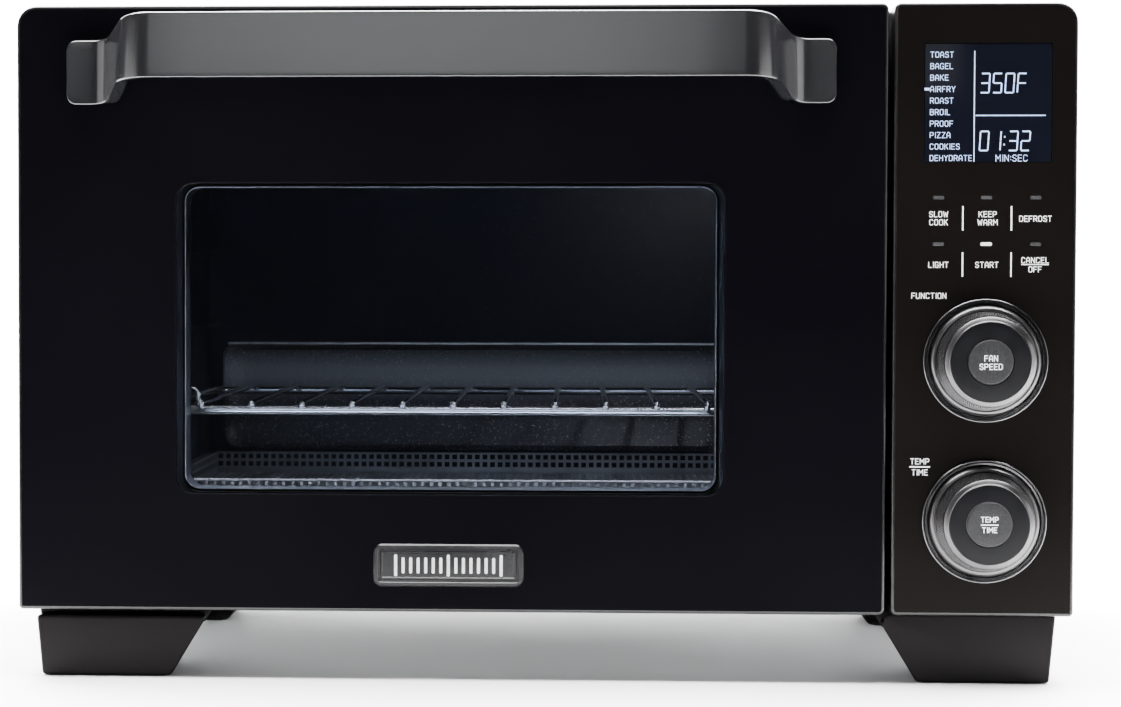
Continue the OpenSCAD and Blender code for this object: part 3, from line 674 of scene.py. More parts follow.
def build_handle():
    """Strip handle: rounded pads on the door that sweep out into a gently bowed bar."""
    thick, height = 0.0058, 0.0305
    pad_z, bar_z = HANDLE_LO.z + height / 2, HANDLE_HI.z - height / 2
    rise_start, rise_end = 0.012, 0.066         # where the strip climbs, from its ends
    end_r, edge_r, crown, lean = 0.0044, 0.0009, 0.0003, 0.0034
    path = handle_path(HANDLE_LO.y - FACE_Y, thick)
    lengths = [0.0]
    for a, b in zip(path, path[1:]):
        lengths.append(lengths[-1] + (b - a).length)
    rows = []
    for k, p in enumerate(path):
        ahead = path[min(k + 1, len(path) - 1)]
        behind = path[max(k - 1, 0)]
        tangent = (ahead - behind).normalized()
        out = Vector((tangent.y, -tangent.x))
        along = min(lengths[k], lengths[-1] - lengths[k])
        t = min(max((along - rise_start) / (rise_end - rise_start), 0), 1)
        blend = t * t * (3 - 2 * t)
        centre_z = pad_z + (bar_z - pad_z) * blend
        missing = 0.0
        if along < end_r:
            missing = end_r - math.sqrt(end_r ** 2 - (end_r - along) ** 2)
        row = []
        for across, up in strip_section(thick / 2, height / 2 - missing, edge_r, crown * blend):
            place = p + out * (across - lean * blend * up / height)
            row.append((DOOR_CX + place.x, FACE_Y + place.y, centre_z + up))
        rows.append(row)
    handle = loft("handle", rows, 50)
    place_piece(handle, "handle_gloss", "door", "handle_black", "door_handle")


def build_badge():
    """Raised plate with a double frame and a plain geometric motif."""
    bounds = x0, x1, z0, z1 = BADGE_LO.x, BADGE_HI.x, BADGE_LO.z, BADGE_HI.z
    radii = [0.0042] * 4
    front = BADGE_LO.y
    steps = [(0, 0.0008), (0.0007, 0.0), (0.0021, 0.0), (0.0027, 0.0006), (0.0033, 0.0006),
             (0.0037, 0.0001), (0.0043, 0.0001), (0.0048, 0.0007)]
    loops = [loop_at(bounds, radii, 0, FACE_Y + 0.0002)]
    loops += [loop_at(bounds, radii, inset, front + depth) for inset, depth in steps]
    plate_piece = loft("badge_frame", loops, 25)
    place_piece(plate_piece, "badge_field", "door", "badge_metal", "badge_plate")
    cx, cz = (x0 + x1) / 2, (z0 + z1) / 2
    pitch, short, tall = 0.0036, 0.0038, 0.0052
    ticks = []
    for k in range(-7, 8):
        outline = slot_outline(cx + pitch * k, cz, 0.0007, short if k % 7 else tall, 0.0006)
        ticks.append(plate(f"tick_{k + 7}", [outline], front + 0.0002, front + 0.0009,
                           0.0001, 1))
    place_piece(joined("badge_motif", ticks), "badge_motif", "door", "badge_metal")


def build_door():
    build_door_panel()
    build_window_surround()
    build_handle()
    build_badge()


# ---- print and display

# Strokes of the capitals, as points across and up in cap heights.
LETTERS = {
    "A": ["0,0 0,0.65 0.2,1 0.4,1 0.6,0.65 0.6,0", "0,0.38 0.6,0.38"],
    "B": ["0,0 0,1 0.42,1 0.56,0.88 0.56,0.64 0.42,0.53 0,0.53",
          "0.42,0.53 0.6,0.4 0.6,0.13 0.45,0 0,0"],
    "C": ["0.6,0.82 0.45,1 0.15,1 0,0.85 0,0.15 0.15,0 0.45,0 0.6,0.18"],
    "D": ["0,0 0,1 0.4,1 0.6,0.82 0.6,0.18 0.4,0 0,0"],
    "E": ["0.55,0 0,0 0,1 0.55,1", "0,0.52 0.48,0.52"],
    "F": ["0,0 0,1 0.55,1", "0,0.5 0.48,0.5"],
    "G": ["0.6,0.82 0.45,1 0.15,1 0,0.85 0,0.15 0.15,0 0.45,0 0.6,0.15 0.6,0.45 0.34,0.45"],
    "H": ["0,0 0,1", "0.6,0 0.6,1", "0,0.52 0.6,0.52"],
    "I": ["0.08,0 0.08,1"],
    "K": ["0,0 0,1", "0.58,1 0.02,0.46", "0.2,0.62 0.6,0"],
    "L": ["0,1 0,0 0.52,0"],
    "M": ["0,0 0,1 0.36,0.4 0.72,1 0.72,0"],
    "N": ["0,0 0,1 0.6,0 0.6,1"],
    "O": ["0.15,0 0.45,0 0.6,0.15 0.6,0.85 0.45,1 0.15,1 0,0.85 0,0.15 0.15,0"],
    "P": ["0,0 0,1 0.44,1 0.6,0.87 0.6,0.58 0.44,0.44 0,0.44"],
    "R": ["0,0 0,1 0.44,1 0.6,0.87 0.6,0.6 0.44,0.47 0,0.47", "0.34,0.47 0.6,0"],
    "S": ["0.58,0.83 0.44,1 0.16,1 0.02,0.86 0.02,0.66 0.15,0.54 0.45,0.46 0.58,0.34 "
          "0.58,0.14 0.44,0 0.15,0 0,0.17"],
    "T": ["0,1 0.6,1", "0.3,1 0.3,0"],
    "U": ["0,1 0,0.15 0.15,0 0.45,0 0.6,0.15 0.6,1"],
    "W": ["0,1 0.18,0 0.4,0.75 0.62,0 0.8,1"],
    "Y": ["0,1 0.3,0.48 0.6,1", "0.3,0.48 0.3,0"],
    "Z": ["0,1 0.58,1 0,0 0.6,0"],
    ":": ["0.05,0.22 0.05,0.3", "0.05,0.7 0.05,0.78"],
}
# Segments of a digit between two corners, in widths and heights of the digit.
SEGMENTS = {
    "a": ((0, 1), (1, 1)), "b": ((1, 1), (1, 0.5)), "c": ((1, 0.5), (1, 0)),
    "d": ((0, 0), (1, 0)), "e": ((0, 0.5), (0, 0)), "f": ((0, 1), (0, 0.5)),
    "g": ((0, 0.5), (1, 0.5)),
}
DIGITS = {"0": "abcdef", "1": "bc", "2": "abged", "3": "abgcd", "5": "afgcd", "F": "aefg"}
SPACING = 0.31              # room between letters, in cap heights
PRINT_LIFT = 0.00012        # how far print stands out of its face
LINE_LIFT = 0.00013         # the same for dividing lines
PRINT_SINK = 0.00001        # how far both reach into it


def stroke_points(text):
    return [tuple(float(v) for v in pair.split(",")) for pair in text.split()]


def add_stroke(bm, start, stop, weight, y_front, y_back):
    """Adds one bar with squared ends between two (x, z) points."""
    a, b = Vector(start), Vector(stop)
    along = (b - a).normalized() * weight / 2
    across = Vector((-along.y, along.x))
    corners = [a - along - across, b + along - across, b + along + across, a - along + across]
    front = [bm.verts.new((p.x, y_front, p.y)) for p in corners]
    back = [bm.verts.new((p.x, y_back, p.y)) for p in corners]
    bm.faces.new(front)
    bm.faces.new(reversed(back))
    for i in range(4):
        j = (i + 1) % 4
        bm.faces.new((front[j], front[i], back[i], back[j]))


def letter_strokes(letter):
    """The letter's strokes and its width, in cap heights."""
    strokes = [stroke_points(text) for text in LETTERS[letter]]
    return strokes, max(p[0] for points in strokes for p in points)


def add_word(bm, word, x, z, cap, weight, y_face, align):
    """Adds a word of block letters standing just proud of a face at y_face."""
    widths = [letter_strokes(letter)[1] for letter in word]
    cursor = x
    if align == "centre":
        advance = 0.0
        for widest in widths:
            advance += (widest + SPACING) * cap
        cursor = x - (advance - SPACING * cap) / 2
    base = z - cap / 2
    for letter, widest in zip(word, widths):
        for k, points in enumerate(letter_strokes(letter)[0]):
            places = [(cursor + p[0] * cap, base + p[1] * cap) for p in points]
            for n, (start, stop) in enumerate(zip(places, places[1:])):
                step = 0.000003 * ((n + k) % 3)
                add_stroke(bm, start, stop, weight, y_face - PRINT_LIFT - step,
                           y_face - PRINT_SINK)
        cursor += (widest + SPACING) * cap


def add_line(bm, start, stop, weight, y_face):
    add_stroke(bm, start, stop, weight, y_face - LINE_LIFT, y_face - PRINT_SINK)


def print_piece(name, words, y_face, weight):
    """One mesh of printed words: each is (word, x, z, cap height, alignment) in metres."""
    bm = bmesh.new()
    for word, x, z, cap, align in words:
        add_word(bm, word, x, z, cap, weight, y_face, align)
    return raw_piece(name, bm)


def segment_word(bm, text, x, z, width, height, gap, weight, y_face):
    """Adds seven-segment digits; a colon takes a third of a digit's room."""
    cursor = x
    lean = 0.06
    for letter in text:
        if letter == ":":
            for level in (0.3, 0.7):
                place = (cursor + lean * level * height, z + level * height)
                add_stroke(bm, place, (place[0], place[1] + 0.0002), weight,
                           y_face - PRINT_LIFT, y_face - PRINT_SINK)
            cursor += gap + weight * 0.6
            continue
        for key in DIGITS[letter]:
            (ax, az), (bx, bz) = SEGMENTS[key]
            start = Vector((cursor + ax * width + lean * az * height, z + az * height))
            stop = Vector((cursor + bx * width + lean * bz * height, z + bz * height))
            trim = (stop - start).normalized() * weight * 0.75
            add_stroke(bm, start + trim, stop - trim, weight, y_face - PRINT_LIFT,
                       y_face - PRINT_SINK)
        cursor += width + gap


def build_display():
    """Display window with its lit menu, temperature, time and dividing lines."""
    y_face = DISPLAY_LO.y
    lens = bevelled_box("display_window", DISPLAY_LO, DISPLAY_HI, 0.00025)
    place_piece(lens, "display_glass", "housing", "display_glass", "display_lens")
    menu = ["TOAST", "BAGEL", "BAKE", "AIRFRY", "ROAST", "BROIL", "PROOF", "PIZZA",
            "COOKIES", "DEHYDRATE"]
    words = [(word, 0.1823, 0.2977 - 0.00539 * k, 0.0025, "left")
             for k, word in enumerate(menu)]
    words.append(("MIN:SEC", 0.22035, 0.24915, 0.0029, "centre"))
    menu_piece = print_piece("display_menu", words, y_face, 0.00026)
    place_piece(menu_piece, "display_glow", "housing", "display_glass")
    bm = bmesh.new()
    digit = (0.0039, 0.0090, 0.0018, 0.00062)       # width, height, gap and stroke
    segment_word(bm, "350F", 0.2056, 0.2798, *digit, y_face)
    segment_word(bm, "01:32", 0.2053, 0.2527, *digit, y_face)
    add_line(bm, (0.2028, 0.2477), (0.2028, 0.2992), 0.00045, y_face)
    add_line(bm, (0.2036, 0.26915), (0.2358, 0.26915), 0.00045, y_face)
    add_line(bm, (0.1798, 0.28153), (0.1813, 0.28153), 0.0011, y_face)
    digits = raw_piece("display_digits", bm)
    place_piece(digits, "display_glow", "housing", "display_glass")


def build_panel_print():
    """Printed labels and dividers on the control column."""
    y_face = PANEL_LO.y
    rows = [("SLOW", 0.18655, 0.2228), ("COOK", 0.18655, 0.2190), ("KEEP", 0.2094, 0.2228),
            ("WARM", 0.2094, 0.2190), ("DEFROST", 0.2317, 0.2207), ("LIGHT", 0.1866, 0.1990),
            ("START", 0.2092, 0.1990), ("CANCEL", 0.2317, 0.2012), ("OFF", 0.2317, 0.1969),
            ("FUNCTION", 0.18225, 0.1844), ("TEMP", 0.1786, 0.1062), ("TIME", 0.1786, 0.1010)]
    words = [(word, x, z, 0.0025, "centre") for word, x, z in rows]
    # Labels and dividers are given a painted glow, so the white print stays bright whatever light
    # falls on it.
    labels = print_piece("panel_labels", words, y_face, 0.0003)
    place_piece(labels, "print_painted_glow_and_led_light", "housing", "black_gloss")
    bm = bmesh.new()
    for x in (0.19785, 0.2205):
        add_line(bm, (x, 0.2154), (x, 0.2263), 0.0006, y_face)
        add_line(bm, (x, 0.1937), (x, 0.2046), 0.0006, y_face)
    add_line(bm, (0.2255, 0.1992), (0.2379, 0.1992), 0.0004, y_face)
    add_line(bm, (0.1741, 0.1036), (0.1831, 0.1036), 0.0006, y_face)
    place_piece(raw_piece("panel_lines", bm), "print_painted_glow_and_led_light", "housing", "black_gloss")


# ---- control column

def build_panel():
    """Shell of the control column with openings for the display, the lights and the knobs."""
    bounds = (PANEL_LO.x, PANEL_HI.x, PANEL_LO.z, PANEL_HI.z)
    radii = [0.003, 0.002, 0.0095, 0.003]
    y0 = PANEL_LO.y
    build_rim("column_rim", bounds, radii, PANEL_HI.y, "housing", "control_panel")
    loops = [loop_at(bounds, radii, RIM, y0), loop_at(bounds, radii, RIM, y0 + SKIN)]
    shell = loft("column_shell", loops, 30)
    gap = 0.0001
    openings = [rounded_outline(DISPLAY_LO.x - gap, DISPLAY_HI.x + gap, DISPLAY_LO.z - gap,
                                DISPLAY_HI.z + gap, 0.0004, 3)]
    openings += [slot_outline(x, z, 0.0028, 0.00105, 0.0009) for x, z in led_places()]
    for node in ("function_knob", "temperature_knob"):
        openings.append(circle_outline(mid(node).x, mid(node).z, 0.0075))
    shell = carve(shell, [plate("opening", [outline], y0 - 0.002, y0 + 0.006)
                          for outline in openings])
    place_piece(shell, "panel_black", "housing", "black_gloss", "control_panel")


def led_places():
    """Centres of the six light openings, read from the CAD light pipes' box."""
    low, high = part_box("led_light_pipes")
    columns = [low.x + 0.0027, (low.x + high.x) / 2 - 0.0003, high.x - 0.0027]
    rows = [high.z - 0.00095, low.z + 0.00095]
    return [(x, z) for z in rows for x in columns]


# ---- knobs

def rounded_rise(r0, h0, r1, h1, steps=4):
    """Quarter-round profile points from a wall at r0 to a face at h1."""
    points = []
    for k in range(steps + 1):
        a = math.radians(90 * k / steps)
        points.append((r0 + (r1 - r0) * (1 - math.cos(a)), h0 + (h1 - h0) * math.sin(a)))
    return points


def knurl(angle, height):
    """Fine teeth around the grip band, fading out at its ends."""
    low, high = 0.0056, 0.0181
    teeth, tooth, fade_length, row_height = 128, 0.00036, 0.0006, 0.00256
    if not low < height < high:
        return 0.0
    fade = min(1.0, (height - low) / fade_length, (high - height) / fade_length)
    row = math.floor((height - low) / row_height)
    return tooth * fade * math.cos(teeth * angle + row * math.pi)


def build_knob(kind):
    """Fixed bead ring, turning knob with a knurled grip, and the push button in its middle."""
    dial, push, knob_node = kind + "_dial", kind + "_push", kind + "_knob"
    place = mid(knob_node)
    centre = Vector((place.x, PANEL_LO.y, place.z))
    bead = [(0.0293, 0.0), (0.0293, 0.0012)] + rounded_rise(0.0293, 0.0012, 0.0287, 0.0020)
    bead += [(0.0283, 0.0019), (0.0277, 0.0012), (0.0269, 0.0011), (0.0266, 0.0014),
             (0.0266, 0.0)]
    ring = lathe(kind + "_bead", bead, centre, 160, closed=True)
    place_piece(ring, "dark_chrome", "housing", "trim_chrome", knob_node + "_ring")
    profile = [(0.0120, 0.0006), (0.0258, 0.0006)]
    profile += rounded_rise(0.0262, 0.0008, 0.0240, 0.0042, 8)
    profile += [(0.0237, 0.0042), (0.0234, 0.0039), (0.0232, 0.0040), (0.0231, 0.0054)]
    profile += [(0.0231 - 0.0020 * k / 46, 0.0055 + 0.0127 * k / 46) for k in range(47)]
    profile += [(0.0211, 0.0184), (0.0210, 0.0187), (0.0208, 0.0189), (0.0193, 0.0197),
                (0.0191, 0.0198), (0.0189, 0.0200), (0.0187, 0.0200), (0.01855, 0.0197)]
    metal = lathe(kind + "_grip", profile + [(0.0181, 0.0196)], centre, 768, knurl)
    place_piece(metal, "knob_metal", dial, "knob_black", knob_node)
    face = [(0.0185, 0.0190), (0.0185, 0.01965), (0.0183, 0.01975), (0.0117, 0.01975),
            (0.0111, 0.01985), (0.01075, 0.0196), (0.01068, 0.0185), (0.01068, 0.0180),
            (0.0120, 0.0180)]
    disc = lathe(kind + "_face", face, centre, closed=True)
    place_piece(disc, "knob_face", dial, "knob_black")
    cap = [(0.0060, 0.0150), (0.01035, 0.0150), (0.01035, 0.0200)]
    cap += rounded_rise(0.01035, 0.0200, 0.0098, 0.0206)
    cap += [(0.0060, 0.02055), (0.0010, 0.0205)]
    button = lathe(kind + "_cap", cap, centre, 96)
    place_piece(button, "button", push, "button_grey", kind + "_button")
    top = centre.y - 0.0206
    rows = {"function": [("FAN", 0.0017, 0.0025), ("SPEED", -0.0022, 0.0025)],
            "temperature": [("TEMP", 0.0025, 0.0023), ("TIME", -0.0024, 0.0023)]}[kind]
    words = [(word, centre.x, centre.z + up, size, "centre") for word, up, size in rows]
    # The button's words and rule carry a painted glow.
    text = print_piece(kind + "_label", words, top, 0.00032)
    place_piece(text, "print_painted_glow_and_led_light", push, "button_grey")
    if kind == "temperature":
        half_rule = 0.0038
        bm = bmesh.new()
        add_stroke(bm, (centre.x - half_rule, centre.z), (centre.x + half_rule, centre.z),
                   0.0005, top - PRINT_LIFT, top)
        place_piece(raw_piece("temperature_rule", bm), "print_painted_glow_and_led_light", push, "button_grey")


LIT_LED = 4


def build_leds():
    """Small light windows, one of them lit."""
    y_face = PANEL_LO.y
    dim = []
    for k, (x, z) in enumerate(led_places()):
        outline = slot_outline(x, z, 0.0026, 0.0008, 0.0007)
        piece = plate(f"led_{k}", [outline], y_face + 0.00005, y_face + 0.003, 0.0001, 2)
        if k == LIT_LED:
            place_piece(piece, "print_painted_glow_and_led_light", "housing", "light_pipe")
        else:
            dim.append(piece)
    group = joined("led_windows", dim)
    place_piece(group, "light_pipe", "housing", "light_pipe", "led_light_pipes")


# ---- feet

def prism(name, front_outline, back_outline, y_front, y_back, bevel):
    """Solid between two outlines (x, z) at two depths, with rounded edges."""
    bm = bmesh.new()
    front = [bm.verts.new((x, y_front, z)) for x, z in front_outline]
    back = [bm.verts.new((x, y_back, z)) for x, z in back_outline]
    bm.faces.new(front)
    bm.faces.new(list(reversed(back)))
    for i in range(len(front)):
        j = (i + 1) % len(front)
        bm.faces.new((front[j], front[i], back[i], back[j]))
    bmesh.ops.bevel(bm, geom=bm.edges[:], offset=bevel, segments=4, profile=0.5,
                    affect="EDGES", clamp_overlap=True)
    return mesh_from_bmesh(name, bm, 35)


def foot_outline(side, top, bottom=0.0004, taper=0.0):
    """Splayed foot seen from the front; the taper draws its inner side outwards."""
    full = 0.033
    outer_low, outer_high = 0.2411, 0.2441
    inner_low, inner_high = 0.1786, 0.1586
    points = []
    for low_x, high_x, share in ((inner_low, inner_high, bottom), (outer_low, outer_high, bottom),
                                 (outer_low, outer_high, top), (inner_low, inner_high, top)):
        x = low_x + (high_x - low_x) * share / full
        shift = taper if low_x == inner_low else 0.0
        points.append((x + shift, share))
    if side < 0:
        points = [(-x, z) for x, z in reversed(points)]
    return points


def notched(outline, step, top):
    """Raises the foot to the column's underside, clear of the door beside it."""
    inner = 0.1645
    low_inner, low_outer, high_outer, high_inner = outline
    rise = (top - step) / (step - low_outer[1])
    crown = high_outer[0] + (high_outer[0] - low_outer[0]) * rise
    notch = max(inner, high_inner[0] + 0.004)
    return [low_inner, low_outer, (crown, top), (notch, top), (notch, step), high_inner]


def build_feet():
    """Four splayed plastic feet; the front left one leaves room for the door's swing."""
    step = 0.0295
    clear = 0.0115
    taper = 0.0085
    for side, word in ((-1, "left"), (1, "right")):
        low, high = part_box(f"foot_front_{word}")
        outlines = [foot_outline(side, step), foot_outline(side, step, taper=taper)]
        if side > 0:
            outlines = [notched(outline, step, high.z) for outline in outlines]
        lower = prism(f"foot_low_{word}", *outlines, low.y, high.y, 0.0018)
        upper = prism(f"foot_high_{word}", foot_outline(side, high.z, step - 0.004),
                      foot_outline(side, high.z, step - 0.004, taper), low.y + clear,
                      high.y, 0.0006)
        foot = joined(f"front_foot_{word}", [lower, upper])
        place_piece(foot, "foot_plastic", "housing", "foot_plastic", f"foot_front_{word}")
        low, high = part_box(f"foot_rear_{word}")
        foot = prism(f"rear_foot_{word}", foot_outline(side, high.z),
                     foot_outline(side, high.z), low.y, high.y, 0.0022)
        place_piece(foot, "foot_plastic", "housing", "foot_plastic", f"foot_rear_{word}")


# ---- cavity

def build_rear_wall():
    """Rear wall of the cavity with a scooped recess, so that a round pizza fits."""
    low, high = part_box("cavity_back")
    wall = (low.x, high.x, low.z, high.z)
    y0 = low.y
    sheet, corner, side_gap, max_r = 0.001, [0.015] * 4, 0.0085, 0.009
    # Loops of the scoop from its rim inwards: inset, lower edge, upper edge, depth.
    scoop = [(0.0, 0.0915, 0.1546, 0.0), (0.0004, 0.0919, 0.1543, -0.0005),
             (0.0010, 0.0924, 0.1537, -0.0006), (0.0016, 0.0930, 0.1531, 0.0),
             (0.0024, 0.0940, 0.1525, 0.0018), (0.0042, 0.1000, 0.1517, 0.0038),
             (0.0078, 0.1150, 0.1507, 0.0060), (0.0120, 0.1300, 0.1497, 0.0078)]
    front, back = [], []
    for inset, z0, z1, deep in scoop:
        bounds = (low.x + side_gap + inset, high.x - side_gap - inset, z0, z1)
        radii = [min(max_r, (z1 - z0) * 0.4)] * 4
        front.append(loop_at(bounds, radii, 0, y0 + deep))
        back.append(loop_at(bounds, radii, 0, y0 + deep + sheet))
    rim = [loop_at(wall, corner, 0, y0), loop_at(wall, corner, 0, y0 + sheet)]
    flat = loft("rear_wall", [rim[0], front[0], back[0], rim[1]], 40, True)
    place_piece(flat, "cavity", "housing", "cavity_coating", "cavity_back")
    # The recess gets the painted-light coating: its lighter colour and bright band stand in for
    # lamp light on the rear wall.
    dish = loft("rear_dish", list(reversed(front)) + back, 40)
    place_piece(dish, "cavity_band_painted_light", "housing", "cavity_coating")
    # A light-coloured bead along the crease: a painted highlight on the bend.
    ends = [Vector((x, y0 - 0.0008, 0.1536)) for x in (low.x + 0.012, high.x - 0.012)]
    crease = tube("rear_crease", ends, 0.0006)
    place_piece(crease, "crease_painted_highlight", "housing", "cavity_coating")


# ---- oven ware

def build_rack():
    """Chromed rack: a frame bar bent round at the corners, thin wires and side hooks."""
    bar_r, wire_r, ball_r, hook_r = 0.0022, 0.0015, 0.0018, 0.0013
    pitch, turn_r = 0.025, 0.012
    dip, ride, tip_inset = 0.0028, 0.0034, 0.004        # heights of the wires over the bar
    z = RACK_LO.z + bar_r
    x0, x1 = RACK_LO.x + bar_r, RACK_HI.x - bar_r
    y0, y1 = RACK_LO.y + 0.003, RACK_HI.y - 0.003
    centre = (x0 + x1) / 2
    outline = rounded_outline(x0, x1, y0, y1, turn_r)
    start = (centre, y1)
    loop = [Vector((x, y, z)) for x, y in [start] + outline[27:] + outline[:27] + [start]]
    parts = [tube("rack_frame", loop, bar_r, 16)]
    for k in range(-5, 6):
        x = centre + k * pitch
        ends = [Vector((x, y0 - bar_r, z + dip)), Vector((x, y0 + tip_inset, z + ride)),
                Vector((x, y1 - tip_inset, z + ride)), Vector((x, y1 + bar_r, z + dip))]
        parts.append(tube(f"rack_wire_{k + 5}", ends, wire_r))
        parts.append(ball("rack_ball", ends[0] + Vector((0, 0.0008, 0.0004)), ball_r))
    for side, x, tall in ((-1, -0.1706, 0.0086), (1, 0.0870, 0.0056)):
        hook = [Vector((x, y0, z)), Vector((x, y0, z + tall)),
                Vector((x + side * 0.002, y0 + 0.0005, z + tall + 0.0016)),
                Vector((x + side * 0.008, y0 + 0.002, z + tall + 0.0018))]
        parts.append(tube("rack_hook", hook, hook_r))
    rack = joined("rack", parts, 60)
    place_piece(rack, "rack_chrome", "rack", "rack_chrome", "wire_rack")


def perforated_sheet(bm, origin, along, up, columns, rows, pitch, hole, depth):
    """Adds a thin sheet with rows of square holes; depth is the sheet's thickness vector."""
    edge = (pitch - hole) / 2
    for i in range(columns):
        for j in range(rows):
            base = origin + along * (i * pitch) + up * (j * pitch)
            outer = [base, base + along * pitch, base + along * pitch + up * pitch,
                     base + up * pitch]
            corner = base + (along + up) * edge
            inner = [corner, corner + along * hole, corner + along * hole + up * hole,
                     corner + up * hole]
            front = [[bm.verts.new(p) for p in ring] for ring in (outer, inner)]
            back = [[bm.verts.new(p + depth) for p in ring] for ring in (outer, inner)]
            for k in range(4):
                n = (k + 1) % 4
                bm.faces.new((front[0][k], front[0][n], front[1][n], front[1][k]))
                bm.faces.new((back[0][n], back[0][k], back[1][k], back[1][n]))
                bm.faces.new((front[1][k], front[1][n], back[1][n], back[1][k]))


def rim_faces(bm, origin, along, up, columns, rows, pitch, depth):
    """Adds the narrow outer faces that close a perforated sheet."""
    sides = [(origin, along, columns), (origin + along * (columns * pitch), up, rows),
             (origin + up * (rows * pitch), along, columns), (origin, up, rows)]
    for start, way, count in sides:
        for k in range(count):
            a = start + way * (k * pitch)
            b = start + way * ((k + 1) * pitch)
            bm.faces.new([bm.verts.new(p) for p in (a, b, b + depth, a + depth)])


def basket_net(x0, x1, y0, y_end, z0, wall_z, counts, pitch, sheet):
    """Perforated floor and walls; counts are the holes across, deep and up the walls."""
    hole = 0.0028
    columns, deep, wall_rows = counts
    right, back, up = Vector((1, 0, 0)), Vector((0, 1, 0)), Vector((0, 0, 1))
    bm = bmesh.new()
    for origin, along, rise, count, rows, depth in (
            ((x0, y0, z0), right, back, columns, deep, up * sheet),
            ((x0, y0, wall_z), right, up, columns, wall_rows, back * sheet),
            ((x0, y_end, wall_z), right, up, columns, wall_rows, -back * sheet),
            ((x0, y0, wall_z), back, up, deep, wall_rows, right * sheet),
            ((x1, y0, wall_z), back, up, deep, wall_rows, -right * sheet)):
        place = Vector(origin)
        perforated_sheet(bm, place, along, rise, count, rows, pitch, hole, depth)
        rim_faces(bm, place, along, rise, count, rows, pitch, depth)
    return mesh_from_bmesh("basket_net", bm, 30)


def build_basket():
    """Air-fry basket: perforated floor and walls, a rolled rim and side flanges."""
    half_x, inset, rise, sheet, wall_rows = 0.1444, 0.0012, 0.0006, 0.0006, 2
    cx = (BASKET_LO.x + BASKET_HI.x) / 2
    x0, x1 = cx - half_x, cx + half_x
    y0, y1 = BASKET_LO.y + inset, BASKET_HI.y - inset
    columns = round((x1 - x0) / 0.0043)
    pitch = (x1 - x0) / columns
    deep = round((y1 - y0) / pitch)
    y_end = y0 + deep * pitch
    z0 = BASKET_LO.z + rise
    wall_z = BASKET_HI.z + rise - wall_rows * pitch
    top = BASKET_HI.z + 0.0003
    parts = [basket_net(x0, x1, y0, y_end, z0, wall_z, (columns, deep, wall_rows), pitch,
                        sheet)]
    loop = [Vector((x, y, top)) for x, y in rounded_outline(x0, x1, y0, y_end, 0.003, 4)]
    parts.append(tube("basket_rim", loop + [loop[0]], 0.0006, 10))
    for low, high in (((x0, y0, z0), (x1, y0 + sheet, wall_z)),
                      ((x0, y_end - sheet, z0), (x1, y_end, wall_z)),
                      ((x0, y0, z0), (x0 + sheet, y_end, wall_z)),
                      ((x1 - sheet, y0, z0), (x1, y_end, wall_z))):
        parts.append(bevelled_box("skirt", low, high, 0.00015))
    for low_x, high_x in ((BASKET_LO.x, x0), (x1, BASKET_HI.x)):
        parts.append(bevelled_box("flange", (low_x, y0 + 0.002, top - 0.0013),
                                  (high_x, y_end - 0.002, top - 0.0003), 0.0003))
    basket = joined("basket", parts, 30)
    place_piece(basket, "basket_steel", "basket", "basket_steel", "air_fry_basket")


# ---- camera, floor and light

def build_camera():
    """Long lens a little left of the middle, level with the top of the knobs."""
    place = (0.01806, -1.6239, 0.1944)
    heading, pitch, roll = 3.294, 2.219, 0.074      # degrees
    data = bpy.data.cameras.new("camera")
    data.lens = 98.4
    data.sensor_width = 36.0
    data.shift_x = 0.1402
    data.shift_y = 0.0349
    data.clip_end = 20
    camera = new_object("camera", data)
    turns = [(heading, "Z"), (90 - pitch, "X"), (roll, "Z")]
    matrix = Matrix.Translation(place)
    for angle, axis in turns:
        matrix = matrix @ Matrix.Rotation(math.radians(angle), 4, axis)
    camera.matrix_world = matrix
    bpy.context.scene.camera = camera


def area_light(name, place, target, size, power, colour=(1, 1, 1)):
    data = bpy.data.lights.new(name, "AREA")
    data.shape = "RECTANGLE"
    data.size, data.size_y = size
    data.energy = power
    data.color = colour
    light = new_object(name, data)
    light.location = place
    aim = Vector(target) - Vector(place)
    light.rotation_euler = aim.to_track_quat("-Z", "Y").to_euler()
    return light


def build_floor():
    """Pale floor that curves up into a backdrop."""
    steps = 24
    width, front, bend, radius, top = 3.0, -0.5, 2.2, 0.8, 3.2
    profile = [(front, 0.0), (bend, 0.0)]
    for k in range(1, steps + 1):
        a = math.radians(90 * k / steps)
        profile.append((bend + radius * math.sin(a), radius * (1 - math.cos(a))))
    profile.append((bend + radius, top))
    bm = bmesh.new()
    rows = [[bm.verts.new((x, y, z)) for x in (-width, width)] for y, z in profile]
    for lower, upper in zip(rows, rows[1:]):
        bm.faces.new((lower[0], lower[1], upper[1], upper[0]))
    floor = mesh_from_bmesh("floor", bm, 60)
    floor.data.materials.append(MAT["floor_white"])


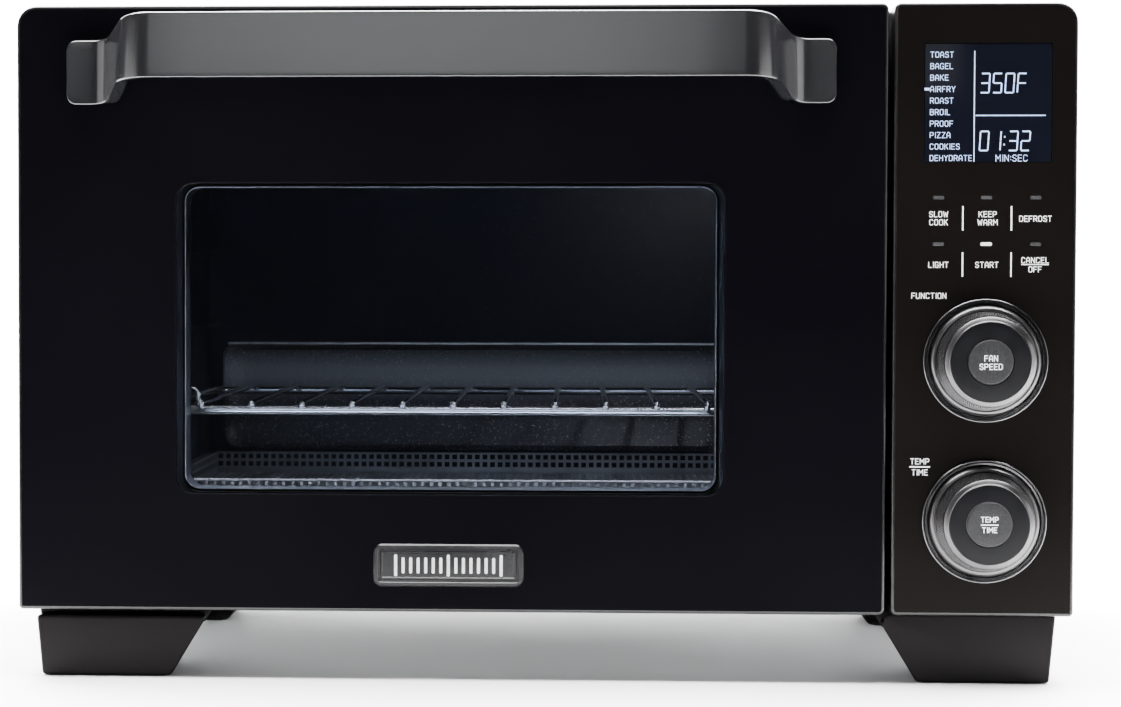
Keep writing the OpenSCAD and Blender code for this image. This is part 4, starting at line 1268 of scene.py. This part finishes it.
def build_world():
    world = bpy.data.worlds.new("studio")
    world.use_nodes = True
    sky = world.node_tree.nodes["Background"]
    sky.inputs["Color"].default_value = (1, 1, 1, 1)
    sky.inputs["Strength"].default_value = 0.03
    bpy.context.scene.world = world


OVEN_WHITE = (1.0, 0.98, 0.95)


def strip_light(name, place, target, length, depth, power, spread_deg):
    """Narrow strip across the door opening that lights in a tight fan."""
    light = area_light(name, place, target, (length, depth), power, OVEN_WHITE)
    light.data.spread = math.radians(spread_deg)


def build_studio_lights():
    area_light("back_wash", (0.0, 1.4, 2.6), (0.0, 2.6, 0.8), (4.0, 1.6), 1900)
    area_light("top_soft", (0.0, 0.1, 1.9), (0.0, -0.05, 0.0), (2.4, 1.5), 700)
    area_light("left_box", (-1.5, -0.75, 0.32), (0.0, -0.2, 0.2), (1.1, 0.6), 6)
    area_light("right_box", (1.5, -0.75, 0.32), (0.0, -0.2, 0.2), (1.1, 0.6), 8)
    area_light("front_card", (-0.17, -1.9, 0.9), (-0.17, -0.2, 0.25), (0.74, 0.9), 6.4,
               (0.95, 0.98, 1.0))


def build_oven_lights():
    """Light of the oven's own lamp, and strips that stand in for its spill at the front."""
    lamp = mid("lamp_lens")
    area_light("oven_light", (lamp.x - 0.012, lamp.y, lamp.z), (RACK_LO.x, 0.12, 0.1),
               (0.03, 0.03), 0.3, OVEN_WHITE)
    tunnel_y = (GLASS_HI.y + INNER_LO.y) / 2
    strip_light("oven_front", (DOOR_CX, -0.131, 0.235), (DOOR_CX, -0.111, 0.088), 0.27, 0.006,
                0.9, 10)
    strip_light("tunnel_top", (DOOR_CX, tunnel_y, INNER_HI.z - 0.002),
                (DOOR_CX, tunnel_y, INNER_LO.z), 0.24, 0.006, 1.0, 30)
    strip_light("basket_front", (DOOR_CX, -0.1315, 0.112), (DOOR_CX, -0.111, 0.0865), 0.27,
                0.005, 0.1, 50)


dress_cad_nodes()
build_door()
build_panel()
build_display()
build_panel_print()
build_leds()
build_knob("function")
build_knob("temperature")
build_feet()
build_rear_wall()
build_rack()
build_basket()
build_camera()
build_floor()
build_world()
build_studio_lights()
build_oven_lights()
